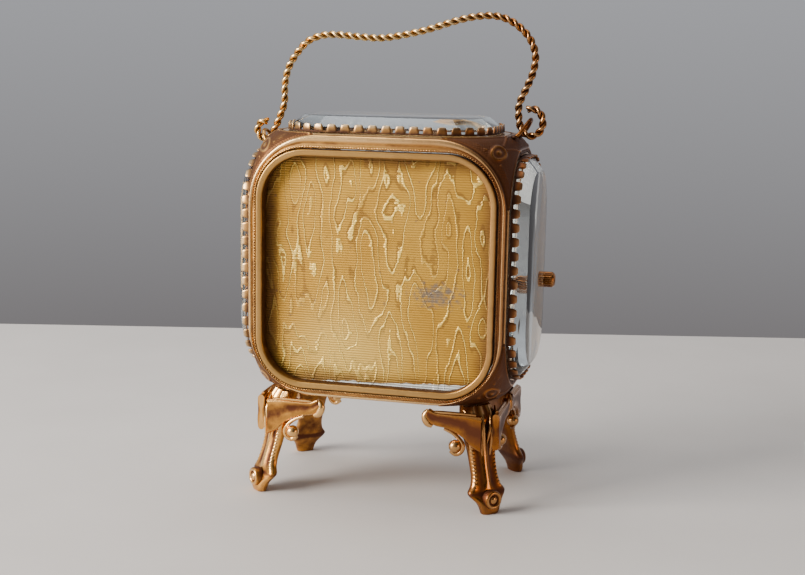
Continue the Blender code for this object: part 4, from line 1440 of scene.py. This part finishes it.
# ---------------------------------------------------------------- bail
@dataclass
class TwistedBail:
    """The bail of two twisted wires, and the two plain wire eyes that it hangs in."""

    strand: float = 0.54 * MM
    lay: float = 0.92
    pitch: float = 4.6 * MM
    cad_radius: float = 1.05
    eye_radius: float = 0.5 * MM
    low_curl: tuple = (37.8, 97.3, 2.3, 2.4)
    high_curl: tuple = (-36.5, 101.5, 3.1, 3.6)
    route: tuple = (
        (34.1, 99.8), (32.3, 104.7), (32.1, 110.2), (30.9, 114.8), (28.5, 118.6), (25.6, 121.6),
        (21.7, 123.2), (17.2, 123.5), (10.4, 123.0), (3.7, 122.9), (-6.4, 124.8), (-15.7, 127.6),
        (-20.7, 128.7), (-25.5, 129.0), (-29.4, 128.1), (-32.9, 125.9), (-35.6, 122.9), (-37.0, 119.0),
        (-36.6, 114.8), (-35.0, 110.6), (-33.4, 107.0), (-33.0, 104.2))

    @staticmethod
    def _curl(size: tuple, start: float, stop: float) -> Array:
        """Points round an oval, in X and Z, between two angles in degrees."""
        angle = np.radians(np.linspace(start, stop, 15))
        return np.stack([size[0] + size[2] * np.cos(angle), size[1] + size[3] * np.sin(angle)], 1)

    def bail(self, finishes: Finishes) -> None:
        """Two strands wound half a turn apart round one line: each goes round it in a helix, whose
        radius is a little under a strand's, once in every pitch.

        Args:
            finishes: the casket's finishes.
        """
        low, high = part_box("handle_bail")
        flat = np.vstack([self._curl(self.low_curl, 105, -160), self.route,
                          self._curl(self.high_curl, -20, -290)])
        flat = spline(flat, 1400) * MM
        middle_y = (low.y + high.y) / 2
        line = np.stack([flat[:, 0], np.full(len(flat), middle_y), flat[:, 1]], 1)
        line[:, 0] += high.x - (self.low_curl[0] + self.low_curl[2] + self.cad_radius) * MM
        run = np.concatenate([[0], np.cumsum(np.linalg.norm(np.diff(line, axis=0), axis=1))])
        tangent = np.gradient(line, axis=0)
        tangent /= np.linalg.norm(tangent, axis=1, keepdims=True)
        side = np.array([0.0, 1.0, 0.0])
        normal = np.cross(side, tangent)
        piece = Piece("handle_bail_twisted")
        for start in (0.0, np.pi):
            turn = (run / self.pitch * 2 * np.pi + start)[:, None]
            radial = np.cos(turn) * normal + np.sin(turn) * side
            centres = line + radial * self.strand * self.lay
            rings = tube(centres, self.strand, 12, radial)
            away = ((rings - line[:, None]) ** 2).sum(2) ** 0.5
            cavity = np.clip(1.30 - away / (1.65 * self.strand), 0, 1)
            piece.add_closed(rings, cavity)
        piece.build(Body.HANDLE, "gilt_brass", finishes.wire, ("handle_bail",), 70.0)

    def eye(self, word: str, side: int, finishes: Finishes) -> None:
        """A wire staple: a half oval from foot to foot, with a blob of solder on each foot.

        Args:
            word: the part of its name that tells it from its twin.
            side: 1 on the hinge side, -1 on the knob side.
            finishes: the casket's finishes.
        """
        low, high = corners(f"handle_eye_{word}")
        turn = np.linspace(0, np.pi, 60)
        radius = self.eye_radius
        inner_x, outer_x = (low[0], high[0]) if side > 0 else (high[0], low[0])
        foot_x, tip_x = inner_x + side * radius, outer_x - side * radius
        foot_z, top_z = low[2] + 0.3 * MM, high[2] - radius
        span = (high[1] - low[1]) / 2 - radius
        line = np.stack([foot_x + (tip_x - foot_x) * np.sin(turn) ** 0.7,
                         (low[1] + high[1]) / 2 - span * np.cos(turn),
                         foot_z + (top_z - foot_z) * np.sin(turn)], 1)
        piece = Piece(f"handle_eye_{word}_wire")
        piece.add_closed(tube(line, radius, 20, np.array([float(side), 0.0, -0.6])), 0.5)
        for foot in (line[0], line[-1]):
            piece.add_ball(foot + (side * -0.1 * MM, 0, -0.1 * MM), (1.0 * MM, 1.1 * MM, 0.6 * MM), 0.9)
        piece.build(Body.CASE, "gilt_brass", finishes.wire, (f"handle_eye_{word}",), 70.0)

    def build(self, finishes: Finishes) -> None:
        """Makes the bail and both eyes.

        Args:
            finishes: the casket's finishes.
        """
        self.bail(finishes)
        self.eye("left", 1, finishes)
        self.eye("right", -1, finishes)


# ---------------------------------------------------------------- cushion
@dataclass
class SilkCushion:
    """A stuffed silk cushion with a corded seam round it and four stitched dimples."""

    swell: float = 0.8 * MM
    voxel: float = 1.5 * MM
    pressure: float = 4.0
    steps: int = 20
    dimple: tuple = (13 * MM, 6.5 * MM)
    cord_inset: float = 0.9 * MM
    cord_radius: float = 0.62 * MM
    cord_relief: float = 0.10 * MM
    cord_pitch: float = 1.5 * MM

    def pillow(self, half: Array) -> Array:
        """A crowned cushion: at each place on a rounded square of u and v from -1 to 1, its half
        thickness is (1 - u^4)^(1/2) * (1 - v^4)^(1/2), and its sides draw in between the corners.

        Args:
            half: half sizes of the pillow.

        Returns:
            (rows, columns, 3) points of the upper side, about its middle.
        """
        u = np.sin(np.linspace(-np.pi / 2, np.pi / 2, 49))[:, None]
        v = np.sin(np.linspace(-np.pi / 2, np.pi / 2, 33))[None]
        crown = np.sqrt(np.clip((1 - u**4) * (1 - v**4), 0, 1))
        x = half[0] * u * (1 - 0.05 * (1 - v**2))
        y = half[1] * v * (1 - 0.05 * (1 - u**2))
        return np.stack([x, y, half[2] * crown], 2)

    def build(self, finishes: Finishes) -> None:
        """Makes the pillow, lets cloth settle it, then adds its dimples and its cord.

        Args:
            finishes: the casket's finishes.
        """
        low, high = corners("cushion")
        middle = (low + high) / 2
        top = self.pillow((high - low) / 2 - self.swell)
        under = top * (1, 1, -0.9)
        piece = Piece("cushion_stuffed").add_shell(top + middle, under + middle)
        pad = piece.build(Body.CASE, "cushion_silk", finishes.silk, ("cushion",), 80.0)
        self._stuff(pad)
        self._stitch(pad, low, high, middle)
        self._cord(low, high, finishes)

    def _stuff(self, pad: bpy.types.Object) -> None:
        """Remeshes the pad and lets cloth swell it under pressure, within a cap.

        Args:
            pad: the cushion's object.
        """
        remesh = pad.modifiers.new("even", "REMESH")
        remesh.mode = "VOXEL"
        remesh.voxel_size = self.voxel
        self._apply(pad)
        before = self._points(pad)
        cloth = pad.modifiers.new("stuffing", "CLOTH")
        cloth.settings.use_pressure = True
        cloth.settings.uniform_pressure_force = self.pressure
        cloth.settings.effector_weights.gravity = 0.0
        for step in range(1, self.steps + 1):
            bpy.context.scene.frame_set(step)
        self._apply(pad)
        moved = self._points(pad) - before
        far = np.maximum(np.linalg.norm(moved, axis=1, keepdims=True), 1e-9)
        after = before + moved * np.minimum(1, self.swell / far)
        pad.data.vertices.foreach_set("co", after.astype(np.float32).ravel())
        bpy.context.scene.frame_set(1)
        finer = pad.modifiers.new("finer", "SUBSURF")
        finer.levels = finer.render_levels = 1
        self._apply(pad)

    @staticmethod
    def _points(pad: bpy.types.Object) -> Array:
        """The pad's vertices.

        Args:
            pad: the cushion's object.

        Returns:
            (n, 3) points.
        """
        flat = np.empty(len(pad.data.vertices) * 3, np.float32)
        pad.data.vertices.foreach_get("co", flat)
        return flat.reshape(-1, 3).astype(float)

    @staticmethod
    def _apply(pad: bpy.types.Object) -> None:
        """Replaces the mesh with its evaluated form and clears the modifiers.

        Args:
            pad: the cushion's object.
        """
        graph = bpy.context.evaluated_depsgraph_get()
        mesh = bpy.data.meshes.new_from_object(pad.evaluated_get(graph))
        pad.modifiers.clear()
        pad.data = mesh
        pad.data.shade_smooth()

    def _stitch(self, pad: bpy.types.Object, low: Array, high: Array, middle: Array) -> None:
        """Presses four dimples, puckers the cloth round them, and keeps it within the cushion's space.

        Args:
            pad: the cushion's object.
            low: low corner of the cushion's space.
            high: high corner of the cushion's space.
            middle: middle of the cushion's space.
        """
        points = self._points(pad)
        local = points - middle
        press = np.zeros(len(points))
        for across in (-1, 1):
            for along in (-1, 1):
                spot = np.array([across, along]) * self.dimple
                away = np.hypot(*(local[:, :2] - spot).T)
                angle = np.arctan2(local[:, 1] - spot[1], local[:, 0] - spot[0])
                press += 2.2 * bump(away, 0, 2.6 * MM) + 0.14 * bump(away, 4 * MM, 3 * MM) * np.cos(7 * angle)
        points[:, 2] -= press * MM * np.sign(local[:, 2])
        points = np.clip(points, low, high)
        pad.data.vertices.foreach_set("co", points.astype(np.float32).ravel())
        pad.data.update()

    def _cord(self, low: Array, high: Array, finishes: Finishes) -> None:
        """A twisted cord sewn over the seam: a tube round the edge whose radius beads along it.

        Args:
            low: low corner of the cushion's space.
            high: high corner of the cushion's space.
            finishes: the casket's finishes.
        """
        middle = (low + high) / 2
        half = (high - low) / 2 - self.cord_inset
        path = rounded_path(half[0], half[1], 2.5 * MM, 900)
        turn = np.linspace(0, 2 * np.pi, 10, endpoint=False)
        twist = path.along[:, None] / self.cord_pitch * 2 * np.pi + turn
        radius = self.cord_radius + self.cord_relief * np.cos(twist)
        grid = swept(path, radius * np.cos(turn), radius * np.sin(turn)) + middle
        Piece("cushion_cord").add(grid, np.clip(0.5 - 0.5 * np.cos(twist), 0, 1), close_rows=True).build(
            Body.CASE, "cushion_silk", finishes.silk, (), 80.0)


# ---------------------------------------------------------------- plain sheet pieces
def dress_sheets(finishes: Finishes) -> None:
    """Gives the sheet pieces that keep their CAD shape their finishes.

    Args:
        finishes: the casket's finishes.
    """
    kept = {"side_frame_left": finishes.gilt, "side_frame_right": finishes.gilt,
            "top_frame": finishes.gilt, "bottom_plate": finishes.band, "front_jamb": finishes.cast,
            "back_lining": finishes.lining}
    for node, finish in kept.items():
        dress_node(node, finish)


# ---------------------------------------------------------------- studio
@dataclass
class Studio:
    """Pale floor, grey surroundings, soft lights and the camera."""

    yaw: float = -14.487
    pitch: float = 9.981
    roll: float = 1.04
    camera_at: tuple = (-0.0934, 0.3605, 0.1196)
    lens: float = 60.86
    shift: tuple = (0.0067, 0.0029)
    aim: tuple = (0.0, 0.0, 0.06)
    floor_half: float = 1.2
    floor_ends: tuple = (-0.9, 0.205)

    def floor(self) -> None:
        """A wide slab of a floor, square to the camera, that ends a little way behind the casket."""
        yaw = math.radians(self.yaw)
        across = np.array([-math.cos(yaw), math.sin(yaw), 0])
        ahead = np.array([-math.sin(yaw), -math.cos(yaw), 0])
        half, (near, far) = self.floor_half, self.floor_ends
        ring = np.array([a * across + b * ahead
                         for a, b in ((-half, near), (half, near), (half, far), (-half, far))])
        points = np.vstack([ring, ring - (0, 0, 0.02)]) - (0, 0, 0.0001)
        faces = [(0, 1, 2, 3), (7, 6, 5, 4)] + [(k, k + 4, (k + 1) % 4 + 4, (k + 1) % 4) for k in range(4)]
        mesh = bpy.data.meshes.new("studio_floor")
        mesh.from_pydata(points.tolist(), [], faces)
        face_outward(mesh)
        ground = linked("studio_floor", mesh)
        made, graph, shader = principled("studio_floor")
        place = graph.add("TexCoord").outputs["Object"]
        shade = graph.mix(graph.noise(place, 30.0, 4.0), (0.54, 0.50, 0.465, 1), (0.60, 0.56, 0.525, 1))
        graph.tree.links.new(shade, shader.inputs["Base Color"])
        shader.inputs["Roughness"].default_value = 0.7
        mesh.materials.append(made)

    def light(self, name: str, place: tuple, power: float, size: float, colour: tuple) -> None:
        """A soft square light that faces the casket.

        Args:
            name: its name.
            place: where it stands.
            power: its power in watts.
            size: width of the light.
            colour: its colour.
        """
        lamp = bpy.data.lights.new(name, "AREA")
        lamp.energy = power
        lamp.size = size
        lamp.color = colour
        made = linked(name, lamp)
        made.location = place
        aim = Vector(self.aim) - Vector(place)
        made.rotation_euler = aim.to_track_quat("-Z", "Y").to_euler()

    def world(self) -> None:
        """Grey-blue surroundings: bright on the hinge side, dark on the knob side and below."""
        made = bpy.data.worlds.new("studio")
        made.use_nodes = True
        graph = Graph(made.node_tree)
        back = made.node_tree.nodes["Background"]
        way = graph.add("SeparateXYZ", {0: graph.add("TexCoord").outputs["Generated"]})
        side = graph.ramp(way.outputs["X"], -0.75, 0.85)
        dusk = graph.ramp(way.outputs["Z"], -0.5, 0.25)
        tint = graph.mix(side, (0.055, 0.045, 0.04, 1), (0.95, 0.97, 1.0, 1))
        behind = graph.ramp(way.outputs["Y"], 0.10, -0.45)
        tint = graph.mix(behind, tint, (0.47, 0.48, 0.51, 1))
        tint = graph.mix(dusk, (0.05, 0.03, 0.02, 1), tint)
        made.node_tree.links.new(tint, back.inputs["Color"])
        back.inputs["Strength"].default_value = 1.0
        bpy.context.scene.world = made

    def camera(self) -> None:
        """A camera on the papered side, a little above the casket and towards its knob."""
        lens = bpy.data.cameras.new("camera")
        lens.sensor_width = 36.0
        lens.lens = self.lens
        lens.shift_x, lens.shift_y = self.shift
        lens.clip_start = 0.01
        made = linked("camera", lens)
        yaw, pitch, roll = (math.radians(a) for a in (self.yaw, self.pitch, self.roll))
        ahead = Vector((-math.sin(yaw) * math.cos(pitch), -math.cos(yaw) * math.cos(pitch),
                        -math.sin(pitch)))
        level = Vector((-math.cos(yaw), math.sin(yaw), 0))
        upright = level.cross(ahead)
        right = math.cos(roll) * level + math.sin(roll) * upright
        up = -math.sin(roll) * level + math.cos(roll) * upright
        made.matrix_world = (Matrix.Translation(self.camera_at)
                             @ Matrix((right, up, -ahead)).transposed().to_4x4())
        bpy.context.scene.camera = made

    def build(self) -> None:
        """Sets the stage."""
        self.floor()
        self.world()
        self.light("window", (0.62, 0.50, 0.36), 15.0, 0.42, (1.0, 0.97, 0.93))
        self.light("sky", (0.15, -0.1, 0.95), 3.5, 0.6, (0.95, 0.97, 1.0))
        self.light("fill", (-0.75, 0.20, 0.10), 0.9, 0.25, (1.0, 0.62, 0.36))
        self.camera()


def main() -> None:
    """Builds every piece in order."""
    logging.basicConfig(level=logging.INFO, format="%(name)s: %(message)s")
    Studio().build()
    finishes = Finishes.make()
    FaceFrame("back_frame", Facing.BACK, Body.CASE, 18.5 * MM, (32.5 * MM, 32.1 * MM), 13.8 * MM,
              -0.85 * MM).build(finishes)
    PaperedBack().build(finishes)
    for side_x, word_x in ((1, "left"), (-1, "right")):
        for side_z, word_z in ((1, "top"), (-1, "bottom")):
            StampedCorner(f"{word_z}_{word_x}", side_x, side_z).build(finishes)
    Glazing("left", Facing.LEFT, Body.CASE, 14.5 * MM).build(finishes)
    Glazing("right", Facing.RIGHT, Body.CASE, 14.5 * MM).build(finishes)
    Glazing("top", Facing.TOP, Body.CASE, 14.0 * MM).build(finishes)
    for side_x, word_x in ((1, "left"), (-1, "right")):
        for side_y, word_y in ((1, "back"), (-1, "front")):
            CastLeg(f"{word_y}_{word_x}", side_x, side_y).build(finishes)
    FaceFrame("door_frame", Facing.FRONT, Body.DOOR, 15.0 * MM, (29.0 * MM, 29.0 * MM), 11.5 * MM,
              rope=False).build(finishes)
    Glazing("door", Facing.FRONT, Body.DOOR, 12.5 * MM).build(finishes)
    DoorFittings().build(finishes)
    TwistedBail().build(finishes)
    SilkCushion().build(finishes)
    dress_sheets(finishes)


if __name__ == "__main__":
    main()
